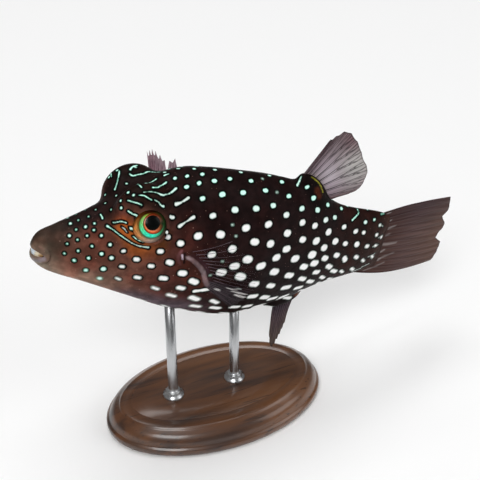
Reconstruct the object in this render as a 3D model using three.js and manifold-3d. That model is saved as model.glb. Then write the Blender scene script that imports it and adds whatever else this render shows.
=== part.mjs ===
// Whitespotted toby, a small sharp-nosed pufferfish, as a life-size museum model on a display stand.
// Millimetres. The fish is shaped lying level, snout at x = 0 and tail towards +X, its left side at -Y.
// A group then tips its nose up and holds it over the stand, whose underside centre is the origin.

import * as THREE from 'three';
import { mergeVertices } from 'three/addons/utils/BufferGeometryUtils.js';
import Module from 'manifold-3d';

const wasm = await Module();
wasm.setup();

// ---------------------------------------------------------------- driving dimensions

const BODY_LENGTH = 65;          // snout to tail root
const GAP = 0.3;                 // clearance between neighbouring pieces
const NOSE_UP = THREE.MathUtils.degToRad(15);
const HOLD_POINT = new THREE.Vector3(1, 0, 36);  // where the middle of the fish is held

// Half sizes of the body at named places along it: back above the axis, belly below, side across.
const STATIONS = [
  { name: 'lips', at: -0.6, back: 1.7, belly: 0.9, side: 1.0 },
  { name: 'chin', at: 0.8, back: 3.2, belly: 2.4, side: 1.95 },
  { name: 'snout', at: 2.6, back: 4.4, belly: 3.5, side: 2.7 },
  { name: 'cheek', at: 8.5, back: 7.5, belly: 5.4, side: 4.4 },
  { name: 'brow', at: 12.4, back: 10.2, belly: 6.75, side: 5.3 },
  { name: 'eye', at: 16.3, back: 13.0, belly: 8.1, side: 6.25 },
  { name: 'gill', at: 24.7, back: 15.3, belly: 10.9, side: 7.7 },
  { name: 'belly', at: 35.8, back: 14.6, belly: 12.85, side: 7.5 },
  { name: 'loin', at: 42.3, back: 13.7, belly: 11.9, side: 6.1 },
  { name: 'vent', at: 48.8, back: 11.6, belly: 10.0, side: 4.5 },
  { name: 'stalk', at: 55.3, back: 8.4, belly: 7.9, side: 3.0 },
  { name: 'tail_root', at: BODY_LENGTH, back: 6.1, belly: 6.4, side: 1.5 },
  { name: 'fin_root', at: BODY_LENGTH + 3, back: 4.9, belly: 6.0, side: 0.5 },
];
const BACK_FULLNESS = 1.9;       // superellipse power of the section above the axis
const BELLY_FULLNESS = 2.1;      // and below it

// The rear of the body swings to the right and lifts slightly, like a slow tail beat.
const BEND_START = 0.7 * BODY_LENGTH;
const BEND_SIDE = 0.25 / BODY_LENGTH;
const BEND_LIFT = 0.05 / BODY_LENGTH;

const HEAD_END = 21.5;
const TRUNK_END = 53.5;
const CLEAR = 5;                 // room that a cutting solid keeps past what it cuts

// Left side values; the right side mirrors them.
const ORBIT = { centre: [15.8, -3.2, 9.0], radii: [4.9, 3.0, 5.0] };
const EYE = { centre: [16.8, -4.2, 7.0], radius: 3.1, opening: 2.55, facing: [-0.3, -0.88, 0.37] };
const GILL_SLIT = { centre: [22.7, -7.3, 2.6], radii: [0.35, 1.0, 1.5], lean: 0.35 };

const BEAK = { centre: [1.0, 0, 0.0], radii: [1.6, 1.15, 1.05], slit: 0.12 };

const DORSAL_LOBE = { centre: [47.7, 0, 11.7], radii: [4.2, 1.5, 2.0], slope: 0.7 };
const ANAL_LOBE = { centre: [48.0, 0, -10.7], radii: [3.9, 1.4, 1.8], slope: -0.35 };

const FIN_EDGE = 0.5;            // thickness at a fin's margin
const FIN_TAPER = 1.6;           // the taper from the root to that thickness ends at 1 / this of the ray

const STAND = {
  length: 42,
  width: 26,
  height: 5,
  sides: 28,
  // From the foot up to the top: [inset from the widest outline, height above the floor].
  edge: [[0.8, 0], [0, 0.8], [0, 1.6], [0.5, 1.95], [0.7, 2.7], [1.3, 3.8], [2.4, 4.5], [3, 5]],
  rodRadius: 0.9,
  rodDepth: 3,
};
const ROD_PLACES = { front: 26, rear: 39 };  // where along the fish each rod meets the belly

// ---------------------------------------------------------------- curves and solids

// Monotone cubic through (xs, ys), held level past both ends.
function smooth(xs, ys) {
  const last = xs.length - 1;
  const slope = xs.slice(1).map((x, i) => (ys[i + 1] - ys[i]) / (x - xs[i]));
  const tangent = xs.map((x, i) => {
    if (i === 0) return slope[0];
    if (i === last) return slope[last - 1];
    const [a, b] = [slope[i - 1], slope[i]];
    return a * b <= 0 ? 0 : (2 * a * b) / (a + b);
  });
  return (x) => {
    const at = Math.min(Math.max(x, xs[0]), xs[last]);
    const i = Math.min(xs.findLastIndex((edge) => edge <= at), last - 1);
    const h = xs[i + 1] - xs[i];
    const s = (at - xs[i]) / h;
    const cubic = (1 + 2 * s) * (1 - s) ** 2 * ys[i] + s * (1 - s) ** 2 * h * tangent[i];
    return cubic + s * s * (3 - 2 * s) * ys[i + 1] + s * s * (s - 1) * h * tangent[i + 1];
  };
}

function profile(size) {
  return smooth(STATIONS.map((s) => s.at), STATIONS.map((s) => s[size]));
}
const back = profile('back');
const belly = profile('belly');
const side = profile('side');

// Solid made from a geometry, with its shared corners joined.
function solidOf(geometry) {
  const bare = geometry.clone();
  bare.deleteAttribute('normal');
  bare.deleteAttribute('uv');
  const joined = mergeVertices(bare, 1e-4);
  return new wasm.Manifold(new wasm.Mesh({
    numProp: 3,
    vertProperties: new Float32Array(joined.attributes.position.array),
    triVerts: new Uint32Array(joined.index.array),
  }));
}

function geometryOf(solid) {
  const mesh = solid.getMesh();
  const geometry = new THREE.BufferGeometry();
  geometry.setAttribute('position', new THREE.BufferAttribute(new Float32Array(mesh.vertProperties), 3));
  geometry.setIndex(new THREE.BufferAttribute(new Uint32Array(mesh.triVerts), 1));
  geometry.computeVertexNormals();
  return geometry;
}

// Triangles [a, b, c] that close a ring of points by a fan round its middle, which has index m.
function fanCap(around, m) {
  return Array.from({ length: around }, (_, k) => [m, (k + 1) % around, k]);
}

// Triangles that close a flat ring by a strip between the points that face each other.
function stripCap(around) {
  const pairs = Array.from({ length: around / 2 - 1 }, (_, k) => [k, k + 1, around - 2 - k, around - 1 - k]);
  return pairs.flatMap(([a, b, c, d]) => [[b, a, d], [b, d, c]]);
}

function middleOf(ring) {
  return ring.reduce((sum, p) => sum.add(p), new THREE.Vector3()).divideScalar(ring.length);
}

// Closed geometry over rings of points. A sheet's rings are flat ones, out one face and back the other.
function skinOver(rings, isSheet = false) {
  const around = rings[0].length;
  const points = rings.flat();
  const index = [];
  for (let r = 0; r + 1 < rings.length; r++) {
    for (let k = 0; k < around; k++) {
      const [a, b] = [r * around + k, r * around + ((k + 1) % around)];
      index.push(a, b, a + around, b, b + around, a + around);
    }
  }
  const count = points.length;
  const firstCap = isSheet ? stripCap(around) : fanCap(around, count);
  const lastCap = isSheet ? stripCap(around) : fanCap(around, around + 1);
  const lastRing = count - around;
  index.push(...firstCap.flat());
  index.push(...lastCap.flatMap(([a, b, c]) => [c + lastRing, b + lastRing, a + lastRing]));
  const middles = isSheet ? [] : [rings[0], rings.at(-1)].map(middleOf);
  const geometry = new THREE.BufferGeometry().setFromPoints([...points, ...middles]);
  geometry.setIndex(index);
  return geometry;
}

function ellipsoid({ centre, radii, slope = 0, lean = 0 }, grow = 0, across = 16, down = 10) {
  const geometry = new THREE.SphereGeometry(1, across, down);
  geometry.scale(radii[0] + grow, radii[1] + grow, radii[2] + grow);
  geometry.rotateY(slope - lean);
  geometry.translate(...centre);
  return solidOf(geometry);
}

function mirrored(item) {
  const flip = ([x, y, z]) => [x, -y, z];
  return { ...item, centre: flip(item.centre), facing: item.facing && flip(item.facing) };
}

// Everything between two planes across the fish. The planes may lie clear of the body.
function slice(solid, from, to) {
  const box = new THREE.BoxGeometry(to - from, BODY_LENGTH, BODY_LENGTH);
  box.translate((from + to) / 2, 0, 0);
  return solid.intersect(solidOf(box));
}

// ---------------------------------------------------------------- body

// Middle of the body at x, with the directions across and up there.
function spine(x) {
  const past = Math.max(x - BEND_START, 0);
  const middle = new THREE.Vector3(x, BEND_SIDE * past ** 2, BEND_LIFT * past ** 2);
  const along = new THREE.Vector3(1, 2 * BEND_SIDE * past, 2 * BEND_LIFT * past).normalize();
  const across = new THREE.Vector3(-along.y, along.x, 0).normalize();
  return { middle, along, across, up: new THREE.Vector3().crossVectors(along, across) };
}

function bodyPoint(x, angle, grow) {
  const { middle, across, up } = spine(x);
  const [c, s] = [Math.cos(angle), Math.sin(angle)];
  const power = 2 / (c >= 0 ? BACK_FULLNESS : BELLY_FULLNESS);
  const height = (c >= 0 ? back(x) : belly(x)) + grow;
  const y = (side(x) + grow) * Math.sign(s) * Math.abs(s) ** power;
  const z = height * Math.sign(c) * Math.abs(c) ** power;
  return middle.clone().addScaledVector(across, y).addScaledVector(up, z);
}

const RINGS = 35;
const RING_POINTS = 28;
const RING_CROWDING = 1.25;      // above 1, rings lie closer together towards the snout

function loft(grow = 0) {
  const [from, to] = [STATIONS[0].at - grow, STATIONS.at(-1).at + grow];
  const rings = [];
  for (let r = 0; r <= RINGS; r++) {
    const x = from + (to - from) * (r / RINGS) ** RING_CROWDING;
    const ring = [];
    for (let k = 0; k < RING_POINTS; k++) {
      ring.push(bodyPoint(x, (-2 * Math.PI * k) / RING_POINTS, grow));
    }
    rings.push(ring);
  }
  return solidOf(skinOver(rings));
}

function flesh(grow = 0) {
  return [ORBIT, mirrored(ORBIT), DORSAL_LOBE, ANAL_LOBE]
    .reduce((whole, lump) => whole.add(ellipsoid(lump, grow)), loft(grow));
}

// Round hole that bares the eye, from the rim of its opening outwards.
function eyeHole({ centre, radius, opening, facing }) {
  const out = new THREE.Vector3(...facing).normalize();
  const rim = Math.sqrt(radius ** 2 - opening ** 2);
  const hole = new THREE.CylinderGeometry(opening + GAP, opening + GAP, CLEAR, 24);
  hole.applyQuaternion(new THREE.Quaternion().setFromUnitVectors(new THREE.Vector3(0, 1, 0), out));
  hole.translate(...new THREE.Vector3(...centre).addScaledVector(out, rim + CLEAR / 2).toArray());
  const socket = ellipsoid({ centre, radii: [radius, radius, radius] }, GAP);
  return solidOf(hole).add(socket);
}

// ---------------------------------------------------------------- fins

// A fin is a thin sheet between its root and its margin, closed on all sides.
// place(u, v) is its middle surface: u runs out along the rays, v from the first ray to the last.
// reach(v) is the share of that surface which the fin covers, so that its margin can be notched.
function finSheet(place, { rays, steps, rootThickness, reach = () => 1 }) {
  const half = (u) => THREE.MathUtils.lerp(rootThickness, FIN_EDGE, Math.min(1, u * FIN_TAPER)) / 2;
  const normalAt = (u, v) => {
    const e = 0.01;
    const du = place(Math.min(u + e, 1), v).sub(place(Math.max(u - e, 0), v));
    const dv = place(u, Math.min(v + e, 1)).sub(place(u, Math.max(v - e, 0)));
    return du.cross(dv).normalize();
  };
  const rings = [];
  for (let i = 0; i <= steps; i++) {
    const u = i / steps;
    const ring = [];
    for (const face of [1, -1]) {
      for (let k = 0; k <= rays; k++) {
        const v = face > 0 ? k / rays : 1 - k / rays;
        const out = u * reach(v);
        ring.push(place(out, v).addScaledVector(normalAt(out, v), face * half(u)));
      }
    }
    rings.push(ring);
  }
  const solid = solidOf(skinOver(rings, true));
  return solid.volume() < 0 ? solidOf(skinOver(rings.reverse(), true)) : solid;
}

// Small dips of the margin between the ray tips.
function scallop(v, rays, depth) {
  return 1 - depth * Math.abs(Math.sin(Math.PI * rays * v));
}

// Root and tips of a fin's rays as smooth curves over v.
function fan(root, tip) {
  const spread = (points) => {
    const vs = points.map((p, i) => i / (points.length - 1));
    const axes = [0, 1, 2].map((axis) => smooth(vs, points.map((p) => p[axis])));
    return (v) => new THREE.Vector3(...axes.map((f) => f(v)));
  };
  return { root: spread(root), tip: spread(tip) };
}

const SPLIT_DEPTH = 0.2;         // of the rays' length
const SPLIT_RAYS = 0.8;          // half width at the margin, in rays

// Roots lie inside the body; margins are given from the first ray to the last.
const DORSAL_FIN = fan(
  [[44.4, 0, 12.8], [47.0, 0, 11.6], [49.6, 0, 9.0]],
  [[48.4, 0, 21.4], [51.1, 0, 23.1], [53.8, 0, 21.3], [56.0, 0, 18.3], [58.0, 0, 15.2],
    [57.6, 0, 12.5], [55.6, 0, 10.9]],
);
const ANAL_FIN = fan(
  [[47.0, 0, -10.4], [49.0, 0, -9.6], [50.9, 0, -9.2]],
  [[48.4, 0.4, -19.6], [50.0, 0.8, -23.2], [51.1, 1.3, -21.2], [52.0, 2.0, -18.4]],
);
const PECTORAL_LEFT = fan(
  [[22.9, -6.6, 3.3], [25.9, -6.9, 1.4], [27.9, -6.8, -2.6]],
  [[29.4, -9.6, 7.4], [33.0, -10.6, 4.2], [34.8, -10.4, -0.8], [34.6, -9.6, -4.8], [31.6, -8.9, -6.4]],
);
const PECTORAL_RIGHT = fan(
  [[22.9, 6.6, 3.3], [25.9, 6.9, 1.4], [27.9, 6.8, -2.6]],
  [[21.6, 13, 11.4], [22.6, 13, 11.8], [24.6, 13, 10.6], [26.7, 13, 10.4],
    [30.0, 12.7, 5.8], [32.2, 11.6, -1.0]],
);

// bow curves the rays sideways along their length; notch is the depth of the margin's dips, and
// split is where a deeper dip parts the rays.
function raySheet({ root, tip }, { rays, bow = 0, notch = 0.035, split, rootThickness = 1.2 }) {
  const place = (u, v) => {
    const point = root(v).lerp(tip(v), u);
    point.y += bow * Math.sin(Math.PI * u);
    return point;
  };
  const reach = (v) => {
    const raysAway = split ? Math.abs(v - split) * rays : SPLIT_RAYS;
    return scallop(v, rays, notch) - SPLIT_DEPTH * Math.max(0, 1 - raysAway / SPLIT_RAYS);
  };
  return finSheet(place, { rays: rays * 2, steps: 5, rootThickness, reach });
}

// Tail fin in the plane of the tail: rays sweep from the slanting root to a lobed rear edge.
// Each place is [behind the tail root, above the axis]; v = 0 is the top ray and v = 1 the lowest.
const TAIL = {
  rays: 10,
  rootTop: [-1.5, 5.2],
  rootFoot: [-4.5, -6.3],
  rearAt: smooth([0, 0.2, 0.27, 0.4, 0.57, 0.68, 0.85, 1], [18.2, 18.9, 17.8, 19.3, 18.0, 20.0, 19.9, 19.0]),
  rearUp: smooth([0, 0.27, 0.57, 1], [6.9, 2.7, -2.2, -7.9]),
  swell: [0.75, -1.2],           // how far the top ray bows up, and the lowest one
  swing: 0.8 / 18 ** 2,          // sideways curl towards the rear edge
};

function tailFin() {
  const { middle, along, across, up } = spine(BODY_LENGTH);
  const mix = THREE.MathUtils.lerp;
  const place = (u, v) => {
    const behind = mix(mix(TAIL.rootTop[0], TAIL.rootFoot[0], v), TAIL.rearAt(v), u);
    const above = mix(mix(TAIL.rootTop[1], TAIL.rootFoot[1], v), TAIL.rearUp(v), u);
    const swell = mix(...TAIL.swell, v) * Math.sin(Math.PI * u);
    return middle.clone()
      .addScaledVector(along, behind)
      .addScaledVector(up, above + swell)
      .addScaledVector(across, TAIL.swing * behind ** 2);
  };
  return finSheet(place, { rays: TAIL.rays * 2, steps: 6, rootThickness: 1.6 });
}

// ---------------------------------------------------------------- placing and stand

const fish = new THREE.Group();
fish.rotation.y = NOSE_UP;
fish.position.copy(HOLD_POINT).sub(
  new THREE.Vector3(BODY_LENGTH / 2, 0, 0).applyAxisAngle(new THREE.Vector3(0, 1, 0), NOSE_UP),
);
fish.updateMatrixWorld();

// Lowest point of the belly above which a rod stands, in the stand's own frame.
function bellyOver(x) {
  return fish.localToWorld(bodyPoint(x, Math.PI, 0));
}

function rod(x, grow = 0) {
  const meets = bellyOver(x);
  const foot = STAND.height + (grow ? 0 : GAP);
  const top = meets.z + STAND.rodDepth + grow;
  const geometry = new THREE.CylinderGeometry(STAND.rodRadius + grow, STAND.rodRadius + grow, top - foot, 16);
  geometry.rotateX(Math.PI / 2);
  geometry.translate(meets.x, 0, (top + foot) / 2);
  return geometry;
}

// Oval plate with a moulded edge.
function standBase() {
  const { length, width, edge, sides } = STAND;
  const rings = edge.map(([inset, height]) => Array.from({ length: sides }, (_, k) => {
    const turn = (2 * Math.PI * k) / sides;
    return new THREE.Vector3((length / 2 - inset) * Math.cos(turn), (width / 2 - inset) * Math.sin(turn), height);
  }));
  return geometryOf(solidOf(skinOver(rings)));
}

// ---------------------------------------------------------------- assembly

const LOOKS = {
  skin: { color: 0x2c1714, roughness: 0.45, metalness: 0 },
  fin: { color: 0x6b4a46, roughness: 0.4, metalness: 0 },
  clear_fin: { color: 0x9a7f86, roughness: 0.35, metalness: 0 },
  eye: { color: 0x2f8a4a, roughness: 0.1, metalness: 0 },
  beak: { color: 0xe6e0d2, roughness: 0.3, metalness: 0 },
  wood: { color: 0x3b2417, roughness: 0.5, metalness: 0 },
  steel: { color: 0xb8b8ba, roughness: 0.3, metalness: 1 },
};

function piece(name, look, geometry) {
  const mesh = new THREE.Mesh(geometry, new THREE.MeshStandardMaterial(LOOKS[look]));
  mesh.name = name;
  return mesh;
}

const flipped = mirrored(EYE);
const rodSockets = Object.values(ROD_PLACES).map((x) => {
  const hole = rod(x, GAP);
  hole.applyMatrix4(fish.matrixWorld.clone().invert());
  return solidOf(hole);
});

const whole = flesh();
const around = flesh(GAP);
const beakCavity = ellipsoid(BEAK, GAP);
const head = [eyeHole(EYE), eyeHole(flipped), beakCavity]
  .reduce((left, cut) => left.subtract(cut), slice(whole, -CLEAR, HEAD_END - GAP / 2));
const trunk = [ellipsoid(GILL_SLIT), ellipsoid(mirrored(GILL_SLIT)), ...rodSockets]
  .reduce((left, cut) => left.subtract(cut), slice(whole, HEAD_END + GAP / 2, TRUNK_END - GAP / 2));
const tailStalk = slice(whole, TRUNK_END + GAP / 2, BODY_LENGTH + CLEAR);

fish.add(piece('head', 'skin', geometryOf(head)));
fish.add(piece('trunk', 'skin', geometryOf(trunk)));
fish.add(piece('tail_stalk', 'skin', geometryOf(tailStalk)));

const fins = {
  caudal_fin: ['fin', tailFin()],
  dorsal_fin: ['fin', raySheet(DORSAL_FIN, { rays: 9 })],
  anal_fin: ['fin', raySheet(ANAL_FIN, { rays: 7, bow: 0.4 })],
  pectoral_fin_left: ['clear_fin', raySheet(PECTORAL_LEFT, { rays: 10, bow: -0.5 })],
  pectoral_fin_right: [
    'clear_fin',
    raySheet(PECTORAL_RIGHT, { rays: 10, bow: 0.8, notch: 0.07, split: 0.5 }),
  ],
};
for (const [name, [look, sheet]] of Object.entries(fins)) {
  fish.add(piece(name, look, geometryOf(sheet.subtract(around))));
}

for (const [name, eye] of [['eye_left', EYE], ['eye_right', flipped]]) {
  const ball = piece(name, 'eye', new THREE.SphereGeometry(eye.radius, 18, 12));
  ball.position.set(...eye.centre);
  fish.add(ball);
}

const beak = ellipsoid(BEAK);
for (const [name, turn] of [['beak_upper', 1], ['beak_lower', -1]]) {
  const half = new THREE.BoxGeometry(2 * CLEAR, 2 * CLEAR, 2 * CLEAR);
  half.translate(0, 0, BEAK.centre[2] + turn * (CLEAR + BEAK.slit));
  fish.add(piece(name, 'beak', geometryOf(beak.intersect(solidOf(half)))));
}

const group = new THREE.Group();
group.add(fish);
group.add(piece('stand_base', 'wood', standBase()));
group.add(piece('stand_rod_front', 'steel', rod(ROD_PLACES.front)));
group.add(piece('stand_rod_rear', 'steel', rod(ROD_PLACES.rear)));

export default group;
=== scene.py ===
# A whitespotted toby, a small sharp-nosed pufferfish, as a museum model on a wooden stand.
# The fish is shaped in its own frame, in millimetres: snout at x = 0, tail towards +X, left side
# at -Y, back towards +Z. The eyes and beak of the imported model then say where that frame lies.

import math

import bpy
import numpy as np
from mathutils import Matrix, Vector


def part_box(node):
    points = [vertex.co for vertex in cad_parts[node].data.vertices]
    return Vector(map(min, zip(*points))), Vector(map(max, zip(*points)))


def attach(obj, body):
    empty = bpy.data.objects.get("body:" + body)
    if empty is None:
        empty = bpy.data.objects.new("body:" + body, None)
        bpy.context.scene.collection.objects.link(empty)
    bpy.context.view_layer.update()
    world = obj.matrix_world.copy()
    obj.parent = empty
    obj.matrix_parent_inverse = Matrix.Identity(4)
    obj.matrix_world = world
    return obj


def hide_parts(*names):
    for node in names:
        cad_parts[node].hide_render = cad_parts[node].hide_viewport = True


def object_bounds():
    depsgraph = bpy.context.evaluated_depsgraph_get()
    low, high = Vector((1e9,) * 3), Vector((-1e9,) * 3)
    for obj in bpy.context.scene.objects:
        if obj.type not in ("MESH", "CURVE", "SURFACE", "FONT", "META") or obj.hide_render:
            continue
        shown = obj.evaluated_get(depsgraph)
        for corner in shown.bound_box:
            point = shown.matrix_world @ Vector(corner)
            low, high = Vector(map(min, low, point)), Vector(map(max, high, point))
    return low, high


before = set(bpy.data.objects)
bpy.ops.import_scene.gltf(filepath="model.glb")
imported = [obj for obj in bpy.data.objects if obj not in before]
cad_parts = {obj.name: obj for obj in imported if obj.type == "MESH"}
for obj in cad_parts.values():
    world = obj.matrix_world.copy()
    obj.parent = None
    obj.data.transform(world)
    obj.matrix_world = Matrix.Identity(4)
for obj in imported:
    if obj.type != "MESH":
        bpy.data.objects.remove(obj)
CAD_LOW, CAD_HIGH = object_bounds()

MM = 0.001
RANDOM = np.random.default_rng(7)

# ---- the fish's sizes, millimetres

LENGTH = 65.0
# Place along the body, then half sizes there: back above the axis, belly below it, side across.
STATIONS = (
    ("lips", -0.5, 2.35, 0.95, 1.0),
    ("chin", 0.8, 3.55, 2.4, 1.95),
    ("snout", 2.6, 4.4, 3.5, 2.7),
    ("cheek", 8.5, 7.5, 5.4, 4.4),
    ("brow", 12.4, 10.2, 6.75, 5.3),
    ("eye", 16.3, 13.0, 8.1, 6.25),
    ("gill", 24.7, 15.3, 10.9, 7.7),
    ("belly", 35.8, 14.6, 12.85, 7.5),
    ("loin", 42.3, 13.7, 11.9, 6.1),
    ("vent", 48.8, 11.6, 10.0, 4.5),
    ("stalk", 55.3, 8.4, 7.9, 3.0),
    ("tail_root", LENGTH, 6.1, 6.4, 1.5),
    ("fin_root", LENGTH + 3, 4.9, 6.0, 0.25),
)
BACK_FULLNESS = 1.9
BELLY_FULLNESS = 2.1
BEND_START = 0.7 * LENGTH
BEND_SIDE = 0.25 / LENGTH
BEND_LIFT = 0.05 / LENGTH

ORBIT = {"centre": (15.8, -3.2, 9.0), "radii": (4.9, 3.0, 5.0)}
# The eye's opening lies a little forward of the eye's axis and above it, at the rim's height.
EYE = {
    "centre": (16.8, -4.2, 7.0), "facing": (-0.3, -0.88, 0.37), "rim": 1.76, "opening": 2.7,
    "shift": (-0.08, 0.23),
}
# The lid is a ring of round section, a little outside the eye's opening and above its rim; the
# opening is cut to that depth under the rim.
LID = {"outside": 0.2, "above": 0.05, "radius": 0.26, "blend": 1.1, "depth": 0.8}
BEAK = {"centre": (1.0, 0.0, 0.0)}
DORSAL_LOBE = {"centre": (47.7, 0.0, 11.7), "radii": (4.2, 1.5, 2.0), "slope": 0.7}
ANAL_LOBE = {"centre": (48.0, 0.0, -10.7), "radii": (3.9, 1.4, 1.8), "slope": -0.35}


def unit(vector):
    vector = np.asarray(vector, float)
    return vector / np.linalg.norm(vector, axis=-1, keepdims=True)


def smooth(xs, ys):
    """Monotone cubic curve through the points, level past both ends."""
    xs, ys = np.asarray(xs, float), np.asarray(ys, float)
    width = np.diff(xs)
    slope = np.diff(ys) / width
    tangent = np.concatenate(([slope[0]], np.zeros(len(xs) - 2), [slope[-1]]))
    before, after = slope[:-1], slope[1:]
    same = before * after > 0
    tangent[1:-1][same] = 2 * before[same] * after[same] / (before[same] + after[same])

    def curve(x):
        x = np.clip(x, xs[0], xs[-1])
        i = np.clip(np.searchsorted(xs, x, side="right") - 1, 0, len(width) - 1)
        h = width[i]
        s = (x - xs[i]) / h
        level = (1 + 2 * s) * (1 - s) ** 2 * ys[i] + s * s * (3 - 2 * s) * ys[i + 1]
        return level + s * (1 - s) ** 2 * h * tangent[i] + s * s * (s - 1) * h * tangent[i + 1]

    return curve


def curve_through(points):
    """A smooth curve through the points, as a function of a share from 0 to 1."""
    points = np.array(points, float)
    shares = np.linspace(0, 1, len(points))
    axes = [smooth(shares, points[:, k]) for k in range(points.shape[1])]
    return lambda share: np.stack([axis(np.asarray(share, float)) for axis in axes], -1)


def rise(low, high, x):
    """Smooth step from 0 at low to 1 at high."""
    t = np.clip((np.asarray(x, float) - low) / (high - low), 0, 1)
    return t * t * (3 - 2 * t)


def station_curve(column):
    return smooth([s[1] for s in STATIONS], [s[column] for s in STATIONS])


back, belly, side = station_curve(2), station_curve(3), station_curve(4)


# ---- where the fish lies in the frame


def box_middle(*nodes):
    lows, highs = zip(*[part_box(node) for node in nodes])
    low = np.min([tuple(p) for p in lows], axis=0)
    high = np.max([tuple(p) for p in highs], axis=0)
    return (low + high) / 2


def find_fish():
    """Turn and origin of the fish's frame, from the middle of its eyes and of its beak."""
    eyes = box_middle("eye_left", "eye_right")
    beak = box_middle("beak_upper", "beak_lower")
    along = eyes - beak
    own = np.array(EYE["centre"]) - np.array(BEAK["centre"])
    nose_up = math.atan2(own[2], own[0]) - math.atan2(along[2], along[0])
    turn = np.array(Matrix.Rotation(nose_up, 3, "Y"))
    origin = eyes - turn @ (np.array([EYE["centre"][0], 0, EYE["centre"][2]]) * MM)
    return turn, origin


TURN, ORIGIN = find_fish()


def to_frame(points):
    """Points of the fish's frame, in millimetres, as points of the shared frame, in metres."""
    return np.asarray(points, float) * MM @ TURN.T + ORIGIN


# ---- the body as a field
# field(points) is below zero inside the flesh and above it outside, about the distance in mm.


def spine(x):
    """Middle of the body at x, with the directions along, across and up there."""
    past = np.maximum(x - BEND_START, 0)
    zero = np.zeros_like(past)
    middle = np.stack([x + zero, BEND_SIDE * past**2, BEND_LIFT * past**2], -1)
    along = unit(np.stack([zero + 1, 2 * BEND_SIDE * past, 2 * BEND_LIFT * past], -1))
    across = unit(np.stack([-along[..., 1], along[..., 0], zero], -1))
    return middle, along, across, np.cross(along, across)


def body_place(points):
    """Place along the spine, sideways offset and height of each point."""
    x = points[:, 0].copy()
    for _ in range(3):
        middle, along, _, _ = spine(x)
        x += ((points - middle) * along).sum(1) * along[:, 0]
    middle, _, across, up = spine(x)
    offset = points - middle
    return x, (offset * across).sum(1), (offset * up).sum(1)


def outline(x, above):
    """Half height of the body there, above its axis or below it, and how full its section is."""
    return np.where(above, back(x), belly(x)), np.where(above, BACK_FULLNESS, BELLY_FULLNESS)


def body_turn(x, y, z):
    """Degrees from the back round to each place, left side positive."""
    height, fullness = outline(x, z >= 0)
    s = np.sign(-y) * (np.abs(y) / side(x)) ** (fullness / 2)
    c = np.sign(z) * (np.abs(z) / height) ** (fullness / 2)
    return np.degrees(np.arctan2(s, c))


def body_point(x, turn, grow=1.0):
    """Point of the plain body at x and at a turn in degrees from the back, left side positive."""
    x, turn = np.broadcast_arrays(np.asarray(x, float), np.radians(np.asarray(turn, float)))
    middle, _, across, up = spine(x)
    c, s = np.cos(turn), -np.sin(turn)
    height, fullness = outline(x, c >= 0)
    y = side(x) * np.sign(s) * np.abs(s) ** (2 / fullness)
    z = height * np.sign(c) * np.abs(c) ** (2 / fullness)
    grow = np.asarray(grow, float)[..., None]
    return middle + grow * (across * y[..., None] + up * z[..., None])


def join(a, b, reach):
    """Union of two fields, rounded where they meet over that reach."""
    near = np.maximum(reach - np.abs(a - b), 0) / reach
    return np.minimum(a, b) - near * near * reach / 4


def carve(a, b, reach):
    """Field a without field b, the edge rounded over that reach."""
    return -join(-a, b, reach)


def meet(a, b, reach):
    """What two fields share, the edge rounded over that reach."""
    return -join(-a, -b, reach)


def plain_body(points):
    x, y, z = body_place(points)
    height, fullness = outline(x, z >= 0)
    level = (np.abs(y / side(x)) ** fullness + np.abs(z / height) ** fullness) ** (1 / fullness)
    shell = np.hypot(y, z) * (1 - 1 / np.maximum(level, 1e-3))
    shell = np.where(level < 0.05, -np.minimum(height, side(x)), shell)
    snout_end = STATIONS[0][1] - points[:, 0]
    tail_end = x - STATIONS[-1][1]
    return meet(meet(shell, snout_end, 1.0), tail_end, 0.5)


def to_left(points):
    """The points, those of the right side mirrored to the left."""
    return np.stack([points[:, 0], -np.abs(points[:, 1]), points[:, 2]], -1)


def ellipsoid_field(points, centre, radii, slope=0.0):
    turn = np.array(Matrix.Rotation(slope, 3, "Y"))
    local = (points - np.array(centre)) @ turn / np.array(radii)
    outer = np.linalg.norm(local, axis=1)
    steep = np.linalg.norm(local / np.array(radii), axis=1)
    return outer * (outer - 1) / np.maximum(steep, 1e-6)


def tube_field(points, path, radii):
    """A tube along straight stretches between the path's points, its radius changing along it."""
    best = np.full(len(points), 1e3)
    for a, b, ra, rb in zip(path[:-1], path[1:], radii[:-1], radii[1:]):
        a, b = np.array(a, float), np.array(b, float)
        step = b - a
        t = np.clip((points - a) @ step / (step @ step), 0, 1)
        distance = np.linalg.norm(points - a - t[:, None] * step, axis=1) - (ra + t * (rb - ra))
        best = np.minimum(best, distance)
    return best


def bent_tube(points, path, radii, stretches=10):
    """The same along a smooth curve through the path's points."""
    shares = np.linspace(0, 1, stretches + 1)
    widths = np.interp(shares, np.linspace(0, 1, len(radii)), radii)
    return tube_field(points, curve_through(path)(shares), widths)


# ---- features of the flesh
# Each is (middle, reach, change, paired): change(points, field) gives the new field of the points
# that lie within reach of the middle. Paired ones are of the left side and mirrored to the right.

# The lips from the middle of the mouth to its left corner, the lower lip's pale edge, the soft ridge
# round that corner, and the fold behind the ridge. The gape between the lips bares the beak's plates.
UPPER_LIP = ((0.05, 0.0, 1.0), (0.22, -0.85, 0.93), (0.72, -1.45, 0.8), (1.35, -1.9, 0.3))
LOWER_LIP = ((0.2, 0.0, -1.1), (0.4, -0.9, -1.0), (0.9, -1.5, -0.75), (1.35, -1.9, -0.3))
LIP_EDGE = ((0.1, -0.9, -0.75), (0.8, -1.5, -0.62), (1.35, -1.9, -0.22))
LIP_RIDGE = (
    (0.5, -1.4, 1.45), (1.1, -1.85, 1.3), (1.7, -2.15, 0.65), (1.75, -2.15, -0.25), (1.3, -1.9, -1.0),
)
LIP_FOLD = (
    (1.4, -2.0, 1.7), (2.15, -2.3, 0.8), (2.25, -2.3, -0.3), (1.85, -2.15, -1.2), (0.95, -1.4, -1.8),
)
GAPE = {"centre": (1.3, 0.0, 0.1), "radii": (2.4, 2.1, 0.72)}

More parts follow.
